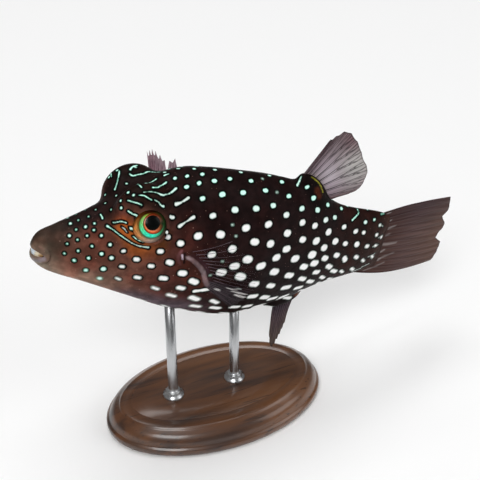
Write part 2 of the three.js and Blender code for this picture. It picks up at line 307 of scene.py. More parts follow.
FIN_STRIP = (
    (23.4, -7.3, 2.9), (24.1, -7.45, 2.6), (25.0, -7.6, 1.95), (25.8, -7.7, 1.25),
    (26.6, -7.8, 0.25), (27.3, -7.75, -1.3), (28.1, -7.4, -2.5),
)
GILL_RIM = ((22.1, -7.05, 4.1), (21.65, -7.2, 3.3), (21.7, -7.25, 2.5), (22.3, -7.2, 1.6))
GILL_SLIT = ((22.65, -7.2, 3.6), (22.95, -7.35, 2.8), (22.85, -7.35, 1.9))


def eye_axes(sign=1):
    """Middle of an eye's opening, then the ways out, rearward and up; sign -1 is the right eye."""
    out = unit(np.array(EYE["facing"]) * (1, sign, 1))
    rear = unit(np.cross(np.cross(out, (1, 0, 0)), out))
    top = np.cross(out, rear) * sign
    centre = np.array(EYE["centre"]) * (1, sign, 1)
    return centre + EYE["shift"][0] * rear + EYE["shift"][1] * top, out, rear, top


def swell(shape, blend):
    """A change that adds an ellipsoid to the flesh."""
    return lambda points, field: join(field, ellipsoid_field(points, **shape), blend)


def add_eye_rim(points, field):
    """Skin drawn up to the eye as a thin soft lid, with the round opening that bares the eye."""
    middle, out, _, _ = eye_axes()
    offset = points - middle
    height = offset @ out
    radius = np.linalg.norm(offset - height[:, None] * out, axis=1)
    lid_radius, lid_height = EYE["opening"] + LID["outside"], EYE["rim"] + LID["above"]
    lid = np.hypot(radius - lid_radius, height - lid_height) - LID["radius"]
    field = join(field, lid, LID["blend"])
    opening = meet(radius - EYE["opening"], EYE["rim"] - LID["depth"] - height, 0.1)
    return carve(field, opening, 0.2)


def add_mouth(points, field):
    left = to_left(points)
    for path, radii, blend in (
        (UPPER_LIP, (0.28, 0.26, 0.22), 0.5),
        (LOWER_LIP, (0.48, 0.42, 0.26), 0.5),
        (LIP_RIDGE, (0.1, 0.24, 0.28, 0.24, 0.1), 0.4),
    ):
        field = join(field, bent_tube(left, path, radii), blend)
    field = carve(field, ellipsoid_field(left, **GAPE), 0.2)
    return carve(field, bent_tube(left, LIP_FOLD, (0.04, 0.09, 0.11, 0.06)), 0.4)


def add_fin_strip(points, field):
    """The fleshy root of the pectoral fin, with a shallow groove in front of it."""
    field = join(field, bent_tube(points, FIN_STRIP, (0.16, 0.34, 0.36, 0.36, 0.26)), 0.5)
    in_front = np.array(FIN_STRIP) + (-0.5, -0.15, -0.42)
    return carve(field, bent_tube(points, in_front, (0.06, 0.12, 0.12, 0.06)), 0.3)


def add_gill(points, field):
    """The gill opening: a raised front rim with a slit behind it."""
    field = join(field, bent_tube(points, GILL_RIM, (0.12, 0.26, 0.26, 0.12)), 0.4)
    return carve(field, bent_tube(points, GILL_SLIT, (0.08, 0.26, 0.1)), 0.15)


FEATURES = (
    (ORBIT["centre"], 9.0, swell(ORBIT, 1.8), True),
    (DORSAL_LOBE["centre"], 7.0, swell(DORSAL_LOBE, 1.2), False),
    (ANAL_LOBE["centre"], 7.0, swell(ANAL_LOBE, 1.2), False),
    (EYE["centre"], 6.5, add_eye_rim, True),
    (BEAK["centre"], 5.0, add_mouth, False),
    (FIN_STRIP[3], 7.0, add_fin_strip, True),
    (GILL_SLIT[1], 4.0, add_gill, True),
)


def flesh_field(points):
    field = plain_body(points)
    for middle, reach, change, paired in FEATURES:
        for sign in (1, -1) if paired else (1,):
            near = np.linalg.norm(points - np.array(middle) * (1, sign, 1), axis=1) < reach
            field[near] = change(points[near] * (1, sign, 1), field[near])
    return field


# ---- a mesh over the field


def cell_edges():
    """The twelve edges of a cell, as pairs of its corners."""
    for axis in range(3):
        for a in (0, 1):
            for b in (0, 1):
                yield np.insert([a, b], axis, 0), np.insert([a, b], axis, 1)


def surface_net(axes, field):
    """Points and four-sided faces on the field's zero surface, one point for each crossed cell."""
    shape = tuple(len(a) for a in axes)
    inside = (field < 0).reshape(shape)
    field = field.reshape(shape)
    count = np.zeros(tuple(n - 1 for n in shape), np.int8)
    for i in (0, 1):
        for j in (0, 1):
            for k in (0, 1):
                count += inside[i:shape[0] - 1 + i, j:shape[1] - 1 + j, k:shape[2] - 1 + k]
    cells = np.argwhere((count > 0) & (count < 8))
    number = np.full(count.shape, -1)
    number[tuple(cells.T)] = np.arange(len(cells))

    total = np.zeros((len(cells), 3))
    hits = np.zeros(len(cells))
    for low, high in cell_edges():
        a = field[tuple((cells + low).T)]
        b = field[tuple((cells + high).T)]
        crossed = (a < 0) != (b < 0)
        share = a[crossed] / (a[crossed] - b[crossed])
        total[crossed] += low + share[:, None] * (high - low)
        hits[crossed] += 1
    place = cells + total / hits[:, None]
    points = np.stack([np.interp(place[:, k], np.arange(shape[k]), axes[k]) for k in range(3)], -1)

    faces = []
    for axis in range(3):
        u, v = np.eye(3, dtype=int)[[(axis + 1) % 3, (axis + 2) % 3]]
        low = np.moveaxis(inside, axis, 0)[:-1]
        high = np.moveaxis(inside, axis, 0)[1:]
        edges = np.argwhere(np.moveaxis(low != high, 0, axis))
        quad = np.stack([number[tuple((edges - step).T)] for step in (0 * u, u, u + v, v)], -1)
        outward = inside[tuple(edges.T)]
        quad[~outward] = quad[~outward][:, ::-1]
        faces.append(quad)
    return points, np.concatenate(faces)


def settle(points, field_of):
    """Points moved straight onto the field's zero surface."""
    step, furthest = 0.02, 0.2
    slope = np.stack([
        (field_of(points + step * axis) - field_of(points - step * axis)) / (2 * step)
        for axis in np.eye(3)
    ], -1)
    steep = np.maximum((slope**2).sum(1), 0.2)
    return points - slope * np.clip(field_of(points) / steep, -furthest, furthest)[:, None]


def relax(points, faces, share):
    """Points moved towards the middle of their neighbours."""
    total = np.zeros_like(points)
    count = np.zeros(len(points))
    for k in range(4):
        a, b = faces[:, k], faces[:, (k + 1) % 4]
        for here, there in ((a, b), (b, a)):
            for axis in range(3):
                total[:, axis] += np.bincount(here, points[there, axis], len(points))
            count += np.bincount(here, minlength=len(points))
    return points + share * (total / count[:, None] - points)


def grid_axis(stops):
    """Grid lines from the first stop to the last; each stop is a place and the spacing there."""
    lines = [stops[0][0]]
    for (start, spacing), (end, next_spacing) in zip(stops[:-1], stops[1:]):
        steps = max(1, round((end - start) / ((spacing + next_spacing) / 2)))
        share = np.arange(1, steps + 1) / steps
        growth = (next_spacing - spacing) / (next_spacing + spacing)
        lines.extend(start + (end - start) * (share * (1 - growth) + share**2 * growth))
    return np.array(lines)


SPACING = 0.193          # between the grid's lines at the head, in mm
REAR_SPACING = 1.9       # times that along the trunk and the tail
BELLY_SPACING = 1.45     # times that in height under the belly


def mesh_flesh():
    fine = SPACING
    coarse = REAR_SPACING * fine
    axes = (
        grid_axis(((-1.6, fine), (24.0, fine), (34.0, coarse), (69.5, coarse))),
        grid_axis(((-9.2, fine), (9.2, fine))),
        grid_axis(((-13.8, BELLY_SPACING * fine), (0.0, fine), (16.6, fine))),
    )
    grid = np.stack(np.meshgrid(*axes, indexing="ij"), -1).reshape(-1, 3)
    points, faces = surface_net(axes, flesh_field(grid))
    for _ in range(3):
        points = settle(relax(points, faces, 0.5), flesh_field)
    return settle(points, flesh_field), faces


# ---- making objects


def mesh_object(name, points, faces, node_names, slot):
    """A smooth-shaded object from points in the shared frame, standing for CAD nodes."""
    mesh = bpy.data.meshes.new(name)
    mesh.from_pydata(np.asarray(points).tolist(), [], [list(map(int, f)) for f in faces])
    mesh.update()
    mesh.shade_smooth()
    made = bpy.data.objects.new(name, mesh)
    bpy.context.scene.collection.objects.link(made)
    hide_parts(*node_names)
    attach(made, "root")
    return made


def add_attribute(mesh, name, values):
    """A number or a vector for each point of the mesh."""
    values = np.asarray(values, np.float32)
    kind, key = ("FLOAT", "value") if values.ndim == 1 else ("FLOAT_VECTOR", "vector")
    mesh.attributes.new(name, kind, "POINT").data.foreach_set(key, values.ravel())


def add_uv(mesh, corner_uv):
    """A map named OFBake, from a pair for each face corner."""
    layer = mesh.uv_layers.new(name="OFBake")
    layer.data.foreach_set("uv", np.asarray(corner_uv, np.float32).ravel())


def linear(code):
    """Linear colour of a #rrggbb code."""
    srgb = np.array([int(code[k:k + 2], 16) for k in (1, 3, 5)]) / 255
    return np.where(srgb <= 0.04045, srgb / 12.92, ((srgb + 0.055) / 1.055) ** 2.4)


class Paint:
    """A material, with short ways to add nodes in front of its shader."""

    def __init__(self, name, **sockets):
        self.material = bpy.data.materials.new(name)
        self.material.use_nodes = True
        self.tree = self.material.node_tree
        self.shader = self.tree.nodes["Principled BSDF"]
        for key, value in sockets.items():
            self.shader.inputs[key.replace("_", " ")].default_value = value

    def node(self, kind, sockets=(), **settings):
        made = self.tree.nodes.new("ShaderNode" + kind)
        for key, value in settings.items():
            setattr(made, key, value)
        for key, value in dict(sockets).items():
            self.feed(made.inputs[key], value)
        return made

    def feed(self, socket, value):
        if isinstance(value, bpy.types.NodeSocket):
            self.tree.links.new(value, socket)
        elif isinstance(value, str):
            socket.default_value = (*linear(value), 1)
        else:
            socket.default_value = value

    def set(self, key, value):
        self.feed(self.shader.inputs[key], value)

    def attribute(self, name, output="Fac"):
        return self.node("Attribute", attribute_name=name).outputs[output]

    def parts(self, vector):
        return self.node("SeparateXYZ", {0: vector}).outputs

    def math(self, operation, a, b=0.0):
        return self.node("Math", {0: a, 1: b}, operation=operation).outputs[0]

    def wander(self, value, per_mm, detail, reach):
        """The value, moved up and down by a noise."""
        change = self.math("SUBTRACT", self.noise(per_mm, detail), 0.5)
        return self.math("ADD", value, self.times(change, reach))

    def times(self, a, b):
        return self.math("MULTIPLY", a, b)

    def step(self, value, low, high, start=0.0, end=1.0):
        """Smooth step of a value, from start at low to end at high."""
        made = self.node("MapRange", {"Value": value}, interpolation_type="SMOOTHSTEP")
        for key, number in (("From Min", low), ("From Max", high), ("To Min", start), ("To Max", end)):
            self.feed(made.inputs[key], number)
        return made.outputs["Result"]

    def mix(self, share, a, b, blend="MIX"):
        made = self.node("Mix", data_type="RGBA", blend_type=blend)
        for key, value in ((0, share), (6, a), (7, b)):
            self.feed(made.inputs[key], value)
        return made.outputs[2]

    def plane(self, x, y):
        """A place in a plane, from its two coordinates."""
        return self.node("CombineXYZ", {0: x, 1: y}).outputs[0]

    def scaled(self, colour, factor):
        """A colour times a number."""
        grey = self.node("CombineXYZ", {0: factor, 1: factor, 2: factor}).outputs[0]
        return self.mix(1.0, colour, grey, "MULTIPLY")

    def place(self, stretch=(1, 1, 1)):
        """Object coordinates, stretched."""
        source = self.node("TexCoord").outputs["Object"]
        return self.node("VectorMath", {0: source, 1: stretch}, operation="MULTIPLY").outputs[0]

    def noise(self, per_mm, detail, stretch=(1, 1, 1)):
        sockets = {"Vector": self.place(stretch), "Scale": per_mm / MM, "Detail": detail}
        return self.node("TexNoise", sockets).outputs["Fac"]

    def cells(self, per_mm, **settings):
        sockets = {"Vector": self.place(), "Scale": per_mm / MM}
        return self.node("TexVoronoi", sockets, **settings).outputs["Distance"]

    def bump(self, height, distance_mm, strength):
        sockets = {"Height": height, "Distance": distance_mm * MM, "Strength": strength}
        self.set("Normal", self.node("Bump", sockets).outputs["Normal"])


# ---- markings of the skin
# A place on the skin is (place along the body, degrees down from the back, left side positive).

# Spots of a flank, line after line; each line slants rearward from the back down to the belly.
FLANK_SPOTS = (
    ((20.7, 13), (22.7, 13), (25.4, 11)),
    ((13.2, 89), (16.0, 101), (19.4, 112), (22.5, 118)),
    ((15.2, 81), (17.7, 86), (20.1, 97), (23.5, 106), (26.8, 119), (28.0, 133)),
    ((18.7, 74), (20.5, 82), (23.0, 90), (25.4, 98), (30.9, 122), (31.9, 133)),
    ((21.7, 68), (24.5, 63), (27.5, 76), (30.0, 90), (31.2, 107), (34.8, 117), (35.6, 131)),
    ((22.3, 25), (24.9, 36), (26.8, 49), (28.5, 62), (31.1, 72), (32.2, 85), (33.9, 94), (33.8, 108)),
    ((24.5, 22), (28.5, 32), (30.8, 44), (33.1, 57), (35.1, 67), (34.4, 80), (37.4, 86), (37.2, 102),
     (38.1, 117), (38.4, 134)),
    ((27.3, 19), (32.4, 29), (34.8, 42), (37.4, 54), (38.4, 69), (40.4, 81), (40.9, 94), (41.3, 109),
     (41.3, 125), (41.4, 146)),
    ((30.3, 15), (36.8, 25), (38.2, 39), (41.1, 47), (41.8, 62), (42.3, 75), (44.9, 85), (44.8, 102),
     (45.4, 119), (43.6, 134)),
    ((34.3, 15), (41.6, 29), (44.5, 40), (44.9, 53), (45.6, 68), (48.7, 84), (47.6, 96), (48.4, 113),
     (48.7, 130), (46.5, 142)),
    ((40.6, 11), (47.2, 25), (48.2, 38), (47.9, 55), (48.9, 70), (51.2, 78), (49.9, 95), (51.3, 110),
     (51.0, 126)),
    ((45.7, 15), (50.8, 26), (52.7, 40), (50.4, 47), (51.5, 60), (53.7, 71), (52.2, 92), (54.1, 108),
     (53.8, 129)),
    ((54.6, 18), (55.3, 51), (56.4, 76), (55.0, 92), (57.5, 102), (56.0, 122), (56.4, 148)),
    ((58.4, 58), (59.4, 80), (60.4, 104), (58.3, 131)),
    ((60.6, 42), (60.5, 61), (62.3, 88), (62.7, 117), (60.9, 134)),
    ((62.9, 36), (64.6, 49), (64.2, 69), (66.0, 77), (64.8, 92), (65.1, 116)),
)
HEAD_DOTS = (
    (4.4, 57), (4.1, 75), (5.7, 33), (5.9, 52), (6.1, 70), (5.7, 87), (6.2, 14), (7.3, 48), (8.1, 64),
    (7.8, 81), (7.8, 104), (7.7, 15), (8.4, 32), (8.3, 42), (9.4, 52), (9.7, 75), (10.4, 96),
    (10.8, 65), (11.3, 80), (10.3, 117), (13.1, 109), (13.0, 73), (10.8, 24), (12.4, 28), (11.4, 31),
    (11.4, 38),
)
TINY_DOTS = ((16.1, 46), (13.0, 34), (15.4, 22), (13.2, 56), (5.0, 15), (4.7, 42), (7.1, 33))
FAINT_DOTS = ((36.7, 10), (39.1, 26), (30.5, 55), (31.4, 63), (28.1, 92), (29.7, 81), (60.3, 60))
MIDDLE_DOTS = (
    (8.9, 6), (10.4, 2), (12.0, 1), (13.7, -8), (19.6, -4), (21.9, -5), (24.4, 1), (28.1, 1), (33.0, 1),
    (38.6, 0), (52.5, 0), (56.5, -2), (61.5, 1),
)

# Lines: tone from 0 for mint to 1 for white, then half widths spread evenly along the line, then the
# places that it passes through.
FLANK_LINES = (
    (0.0, (0.19, 0.1, 0.13, 0.13), (10.2, 42), (11.0, 49), (11.9, 56), (12.8, 61)),
    (0.5, (0.13, 0.1, 0.12, 0.2), (12.8, 61), (14.2, 67), (15.5, 70), (16.7, 71)),
    (0.1, (0.14, 0.13, 0.15), (12.3, 44), (12.9, 47), (13.8, 50)),
    (0.1, (0.12, 0.1, 0.12, 0.15), (12.2, 36), (12.9, 39.5), (13.6, 42), (14.3, 44.5), (15.0, 47.5)),
    (0.0, (0.08, 0.11, 0.1), (13.7, 36), (14.5, 38), (15.3, 41), (15.7, 42)),
    (0.3, (0.07, 0.11, 0.24), (16.2, 42), (16.8, 43), (17.5, 45), (17.9, 45)),
    (0.3, (0.07, 0.08, 0.19, 0.07, 0.22), (14.5, 35), (16.3, 36), (17.6, 37), (18.7, 34), (20.6, 25)),
    (0.2, (0.13, 0.11, 0.15), (10.9, 42), (11.4, 46), (12.3, 50.5)),
    (0.0, (0.11, 0.14), (9.4, 21), (9.6, 29)),
    (0.9, (0.09, 0.14, 0.1), (12.0, 51.5), (12.4, 54), (12.8, 57)),
    (0.3, (0.15, 0.12), (13.0, 55), (13.7, 57)),
    (0.2, (0.11, 0.09), (13.7, 62), (14.4, 65), (15.3, 67)),
    (0.7, (0.05, 0.09), (15.9, 69), (16.8, 68), (17.6, 66)),
    (0.8, (0.36, 0.16, 0.24), (20.4, 40), (21.4, 38), (22.5, 35)),
    (0.9, (0.32, 0.1, 0.36), (21.2, 56), (22.2, 53), (23.4, 50)),
    (0.8, (0.33, 0.33), (19.4, 50), (20.0, 50)),
    (1.0, (0.2, 0.26, 0.46), (18.65, 60), (18.9, 62.5), (19.6, 63.5)),
    (1.0, (0.44, 0.34, 0.48, 0.34), (26.2, 109), (28.8, 106)),
    (0.0, (0.12, 0.16, 0.2), (58.7, 0), (58.9, 19), (58.1, 31), (57.2, 39)),
    (0.3, (0.1, 0.26), (44.6, 3), (43.8, 12)),
    (0.9, (0.12, 0.08), (64.6, 47), (65.6, 52)),
    (1.0, (0.12, 0.12, 0.08), (64.0, 92), (65.8, 93)),
    (1.0, (0.12, 0.08), (63.8, 112), (65.6, 110)),
    (1.0, (0.12, 0.08), (65.0, 76), (66.0, 74)),
    (1.0, (0.16, 0.1), (63.4, 139), (65.2, 136)),
    (1.0, (0.16, 0.1), (61.4, 146), (63.6, 144)),
    (0.0, (0.14, 0.08), (64.8, 17), (65.8, 9)),
)
# The lines on the crown differ from one side to the other.
CROWN_LINES = (
    (0.0, (0.17, 0.12, 0.11, 0.17), (16.1, 31), (17.0, 30), (18.0, 23), (19.2, 16)),
    (0.0, (0.1, 0.13), (16.1, 18), (17.0, 12), (18.0, 6)),
    (0.0, (0.16, 0.09, 0.16), (14.2, 19), (14.2, 24), (14.3, 29)),
    (0.0, (0.2, 0.13, 0.1), (14.5, -20), (15.0, -23), (15.9, -25)),
    (0.0, (0.13, 0.14, 0.11, 0.14, 0.12, 0.1),
     (14.3, -16), (14.9, -13), (16.3, -13), (17.6, -17), (19.2, -11)),
    (0.0, (0.12, 0.12, 0.1, 0.08, 0.16), (12.9, -24), (12.7, -20), (12.5, -17), (12.1, -13)),
    (0.0, (0.12, 0.12), (12.0, -33), (11.8, -26)),
    (0.1, (0.16, 0.13), (19.3, 4), (20.0, 3)),
)

SPOT_SIZE_ALONG = smooth((4, 9, 13, 20, 30, 45, 55, 65), (0.2, 0.27, 0.4, 0.58, 0.84, 0.85, 0.72, 0.45))
SPOT_SIZE_ROUND = smooth((0, 15, 30, 45, 70, 95, 120), (0.5, 0.56, 0.66, 0.8, 1.0, 1.3, 1.5))
SPOT_ASPECT = smooth((0, 30, 60, 85, 105, 125), (1.5, 1.35, 1.25, 1.4, 1.9, 2.4))
SPOT_SLOPE = smooth((10, 40, 70, 100), (-25, -12, 0, 12))
FAINT_SIZE = 0.24
TINY_SIZE = 0.24
TURN_SPREAD = 14         # degrees that a spot's lie may stray
LINE_POINTS = 20
LINE_WIDTH = 0.9         # times the half widths in the tables
LINE_SOFTNESS = 0.06
MARK_REACH = 0.9         # how far outside a mark its distance is kept
OVERLAP = 8              # degrees that one side's marks may run over the middle of the back


def on_skin(places):
    """Points of the skin at places on it."""
    x, turn = np.asarray(places, float).reshape(-1, 2).T
    low, high = np.full(len(x), 0.4), np.full(len(x), 1.8)
    halvings = 16
    for _ in range(halvings):
        half = (low + high) / 2
        inside = flesh_field(body_point(x, turn, half)) < 0
        low, high = np.where(inside, half, low), np.where(inside, high, half)
    return body_point(x, turn, (low + high) / 2)


def spot_paths(places, size=None):
    """Each spot as a short stretch of line with a half width, lying along the lie of its region."""
    x, turn = np.array(places, float).T
    down = np.abs(turn)
    half = size or SPOT_SIZE_ALONG(x) * SPOT_SIZE_ROUND(down) * RANDOM.uniform(0.9, 1.1, len(x))
    aspect = np.where(x < 13, 1.08, SPOT_ASPECT(down) * RANDOM.uniform(0.92, 1.08, len(x)))
    steeper = 28 * rise(44, 56, x) * rise(65, 95, down)
    stray = RANDOM.uniform(-TURN_SPREAD, TURN_SPREAD, len(x))
    slope = np.radians(SPOT_SLOPE(down) + steeper + stray)[:, None]
    width = half / aspect
    middle = on_skin(np.stack([x, turn], -1))
    along = unit(on_skin(np.stack([x + 0.2, turn], -1)) - middle)
    downward = on_skin(np.stack([x, turn + np.copysign(2, turn)], -1)) - middle
    downward = unit(downward - (downward * along).sum(1)[:, None] * along)
    reach = (half - width)[:, None] * (np.cos(slope) * along + np.sin(slope) * downward)
    return np.stack([middle - reach, middle + reach], 1), np.stack([width, width], 1)


def line_paths(lines):
    """Lines through places on the skin, as close points with half widths."""
    shares = np.linspace(0, 1, LINE_POINTS)
    places = np.concatenate([curve_through(places)(shares) for _, _, *places in lines])
    paths = on_skin(places).reshape(len(lines), LINE_POINTS, 3)
    widths = [np.interp(shares, np.linspace(0, 1, len(widths)), widths) for _, widths, *_ in lines]
    return paths, [LINE_WIDTH * width for width in widths]


def shifted(places, along=0.35, turn=2.0):
    """Places of the right side: a mirror image of the left side's, each a little displaced."""
    moves = RANDOM.uniform(-1, 1, (len(places), 2)) * (along, turn)
    return (np.array(places, float) + moves) * (1, -1)


def whiteness(x, turn):
    """1 where the marks are white, 0 where they are mint green."""
    return rise(28, 56, np.abs(turn)) * rise(9, 14, x)


def softness(x, turn):
    """Width in mm over which a mark's edge fades."""
    down = np.abs(turn)
    throat = 0.26 * rise(95, 135, down) * (1 - rise(24, 36, x))
    flank = 0.1 * rise(60, 115, down)
    snout = 0.05 * (1 - rise(6, 10, x))
    tail = 0.08 * rise(58, 66, x)
    return 0.08 + throat + flank + snout + tail


def belly_places():
    """Spots under the belly, which lie closer than on the flanks."""
    start, end, pitch, stagger = 19, 58, 3.9, 2
    for row, turn in enumerate((149, 164, 178)):
        for x in np.arange(start + stagger * (row % 2), end, pitch):
            yield (x + RANDOM.uniform(-0.4, 0.4), turn + RANDOM.uniform(-3, 3))


def all_marks():
    """Each mark as its points, half widths, whiteness, softness and side."""
    flank = np.array([place for line in FLANK_SPOTS for place in line] + [*HEAD_DOTS, *belly_places()])
    sides = ((1, flank, np.array(FAINT_DOTS)), (-1, shifted(flank), shifted(FAINT_DOTS)))
    for sign, spots, faint in sides:
        for path, width, x, turn in zip(*spot_paths(spots), *spots.T):
            yield path, width, whiteness(x, turn), softness(x, turn), sign
        for path, width in zip(*spot_paths(faint, FAINT_SIZE)):
            yield path, width, 0.6, 0.25, sign
        for path, width in zip(*spot_paths(np.array(TINY_DOTS) * (1, sign), TINY_SIZE)):
            yield path, width, 0.2, 0.1, sign
        lines = [
            (tone, widths, *[(x, sign * turn) for x, turn in places])
            for tone, widths, *places in FLANK_LINES
        ]
        for path, width, (tone, _, start, *_) in zip(*line_paths(lines), lines):
            yield path, width, tone, LINE_SOFTNESS + 0.12 * rise(62, 65, start[0]), sign
    for path, width in zip(*spot_paths(MIDDLE_DOTS)):
        yield path, width, 0.2, 0.07, 0
    for path, width, (tone, *_) in zip(*line_paths(CROWN_LINES), CROWN_LINES):
        yield path, width, tone, LINE_SOFTNESS, 0


def nearest_marks(points, turns):
    """Distance of each point outside the nearest mark, with that mark's whiteness and softness."""
    order = np.argsort(points[:, 0])
    sorted_x = points[order, 0]
    found = np.tile([MARK_REACH, 0.0, 0.1], (len(points), 1))
    for path, widths, tone, soft, sign in all_marks():
        reach = widths.max() + MARK_REACH
        low, high = path.min(0) - reach, path.max(0) + reach
        near = order[np.searchsorted(sorted_x, low[0]):np.searchsorted(sorted_x, high[0])]
        near = near[((points[near] > low) & (points[near] < high)).all(1)]
        near = near[sign * turns[near] > -OVERLAP]
        distance = tube_field(points[near], path, widths)
        closer = distance < found[near, 0]
        found[near[closer]] = np.column_stack([
            distance[closer], np.full(closer.sum(), tone), np.full(closer.sum(), soft)])
    return found


# ---- ground colours of the skin

FLANK_DARK = "#1a0f0f"
# Each colour covers those before it: code, share along the body, share round it (degrees down).
GROUNDS = (
    ("#120809", lambda x: rise(26, 36, x), lambda t: 0.8 * rise(70, 100, t)),
    ("#241310", lambda x: rise(50, 60, x), lambda t: 1),
    ("#341e18", lambda x: rise(62, 67, x), lambda t: 1),
    ("#2e1815", lambda x: 1 - rise(26, 40, x), lambda t: 0.8 * rise(50, 90, t)),
    ("#1f1413", lambda x: 1 - rise(20, 34, x), lambda t: 1 - rise(20, 50, t)),
    ("#4b2a24", lambda x: 1 - rise(19, 27, x), lambda t: rise(35, 75, t)),
    ("#5f3b30", lambda x: 1 - rise(14, 21, x), lambda t: rise(20, 55, t)),
    ("#6c4d42", lambda x: 1 - rise(10, 20, x), lambda t: rise(78, 110, t)),
    ("#8f705f", lambda x: 1 - rise(7, 17, x), lambda t: rise(98, 128, t)),
    ("#423a31", lambda x: 1 - rise(1.5, 7, x), lambda t: 0.4 + 0.6 * rise(0, 60, t)),
    ("#907d6d", lambda x: 1 - rise(0.5, 6, x), lambda t: rise(66, 108, t)),
    ("#5a5058", lambda x: rise(12, 17, x) * (1 - rise(24, 34, x)), lambda t: 0.8 * rise(112, 140, t)),
)
# Patches over the ground, the same on both sides: code, strength, half width, fading width, then
# places on the skin or points in space. A few are painted light: shade, shadows and a highlight, as marked.
PATCHES = (
    ("#a5561f", 0.95, 0.5, 2.6, (12.6, 55), (13.6, 61), (15.0, 68)),
    ("#7d4220", 0.6, 0.3, 2.6, (15.5, 73), (18.0, 72)),
    ("#1c100c", 0.9, 1.4, 2.0, (13.4, 30), (15.6, 38), (17.6, 40)),
    ("#5a2a14", 0.7, 0.3, 0.9, (13.6, 52), (14.2, 49), (15.2, 48)),
    ("#5b3716", 0.5, 0.2, 1.6, (18.9, 62), (18.7, 68)),
    ("#40221a", 0.9, 0.8, 1.6, (23.2, 86), (25.2, 96), (27.0, 102)),
    ("#7d565c", 0.75, 0.08, 0.32, *GILL_RIM),
    # painted shade: near-black in the gill slit
    ("#0a0606", 0.85, 0.1, 0.26, *GILL_SLIT),
    # painted highlight: a lilac-white glint on the gill's raised rim
    ("#d9d0e2", 0.95, 0.05, 0.22, (22.3, -7.2, 3.3), (22.5, -7.25, 2.6)),
    ("#b3a0a5", 0.95, 0.16, 0.34, *FIN_STRIP),
    ("#5f5358", 0.9, 0.2, 0.4, *FIN_STRIP[-2:]),
    # painted shade: a dark line in the crease behind the fin's fleshy root
    ("#34222a", 0.7, 0.1, 0.5, *(np.array(FIN_STRIP) + (0.7, 0.2, 0.35))),
    # painted shadow: a dark grey patch on the skin under the pectoral fin's base
    ("#3d3138", 0.8, 0.2, 0.7, (28.6, 103), (29.6, 108)),
    ("#7a7264", 0.8, 1.0, 1.8, (0.8, 100), (1.4, 140), (3.0, 150)),
    ("#7d6a5c", 0.6, 0.1, 0.3, *UPPER_LIP),
    ("#979aa3", 1.0, 0.36, 0.36, *LOWER_LIP),
    ("#e8d6d0", 0.9, 0.05, 0.26, *LIP_EDGE),
    ("#877069", 0.55, 0.1, 0.25, *LIP_RIDGE),
    # painted shade: darker along the crease of the fold behind the lip ridge
    ("#4a3b36", 0.6, 0.03, 0.22, *LIP_FOLD),
    # painted shadow: near-black on the flank under the rear of the dorsal lobe
    ("#0c0707", 0.8, 0.8, 1.6, (46.5, 12), (49.0, 26), (50.6, 20)),
    ("#4a2110", 0.8, 0.2, 0.7, (47.8, -1.4, 12.4), (48.4, -1.6, 11.3)),
    ("#9a9a34", 0.9, 0.03, 0.16,
     (46.4, -0.5, 14.4), (47.6, -0.75, 13.9), (48.6, -0.95, 13.0), (49.2, -1.2, 11.9)),
    ("#5a2c14", 0.8, 0.3, 0.9, (50.8, -1.0, -9.6), (51.6, -0.9, -9.0)),
)


def ground_colours(points, x, turn):
    """Linear colour of the bare skin at each point, with the painted shade and highlight of a few patches."""
    down = np.abs(turn)
    colours = np.tile(linear(FLANK_DARK), (len(points), 1))
    for code, along, around in GROUNDS:
        share = (along(x) * around(down))[:, None]
        colours += share * (linear(code) - colours)
    left = to_left(points)
    for code, strength, width, fade, *path in PATCHES:
        path = on_skin(path) if len(path[0]) == 2 else np.array(path)
        near = np.abs(left - path.mean(0)).max(1) < width + fade + np.ptp(path, 0).max()
        distance = tube_field(left[near], path, np.full(len(path), width))
        share = strength * (1 - rise(0, fade, distance))
        colours[near] += share[:, None] * (linear(code) - colours[near])
    return colours


def skin_paint():
    paint = Paint("toby_skin", Specular_IOR_Level=0.04)
    ground = paint.attribute("ground", "Color")
    mottle = paint.step(paint.noise(0.55, 4), 0.32, 0.7, 0.7, 1.35)
    ground = paint.scaled(ground, mottle)
    reddish = paint.step(paint.noise(0.22, 2), 0.45, 0.7, 0.0, 0.45)
    ground = paint.mix(reddish, ground, paint.mix(1.0, ground, (1.5, 0.85, 0.75, 1), "MULTIPLY"))
    fleck = paint.step(paint.cells(1.5), 0.07, 0.15, 1.0, 0.0)
    chosen = paint.step(paint.noise(0.9, 0), 0.48, 0.58)
    flecks = paint.times(paint.times(fleck, chosen), paint.attribute("flecks"))
    ground = paint.mix(flecks, ground, "#a27c6e")

    distance, white, soft = paint.parts(paint.attribute("mark", "Vector"))
    distance = paint.wander(distance, 2.2, 1, 0.16)
    rim = paint.step(distance, 0.2, 0.42, 1.0, 0.0)
    rim = paint.times(rim, paint.step(soft, 0.18, 0.36, 1.0, 0.2))
    ground = paint.mix(rim, ground, "#070404")
    mint = paint.mix(paint.step(distance, -0.11, 0.04), "#d4fff4", "#6cc4a4")
    pale = paint.mix(paint.step(distance, -0.3, 0.05), "#ffffff", "#bcc6be")
    share = paint.step(distance, paint.times(soft, -1.0), soft, 1.0, 0.0)
    colour = paint.mix(share, ground, paint.mix(white, mint, pale))
    paint.set("Base Color", colour)

    grain = paint.cells(2.6, feature="SMOOTH_F1")
    wrinkle = paint.noise(0.9, 5)
    height = paint.math("ADD", paint.times(grain, 0.6), wrinkle)
    paint.bump(height, 0.05, 0.6)
    paint.set("Roughness", paint.step(paint.noise(1.4, 3), 0.3, 0.7, 0.38, 0.58))
    return paint.material


def skin_uv(faces, x, turn):
    """Left side on the lower half of the map and right side on the upper, back to belly upwards."""
    turns = turn[faces]
    is_right = (np.sign(turns).sum(1) < 0)[:, None]
    turns = np.where(is_right, -turns, turns)
    turns = np.where(turns < -90, turns + 360, turns)
    margin, height = 0.02, 0.46
    v = margin + height * turns / 180 + np.where(is_right, 0.5, 0)
    u = margin + (x[faces] - STATIONS[0][1] + 1) / (LENGTH + 6) * (1 - 2 * margin)
    return np.stack([u, v], -1).reshape(-1, 2)


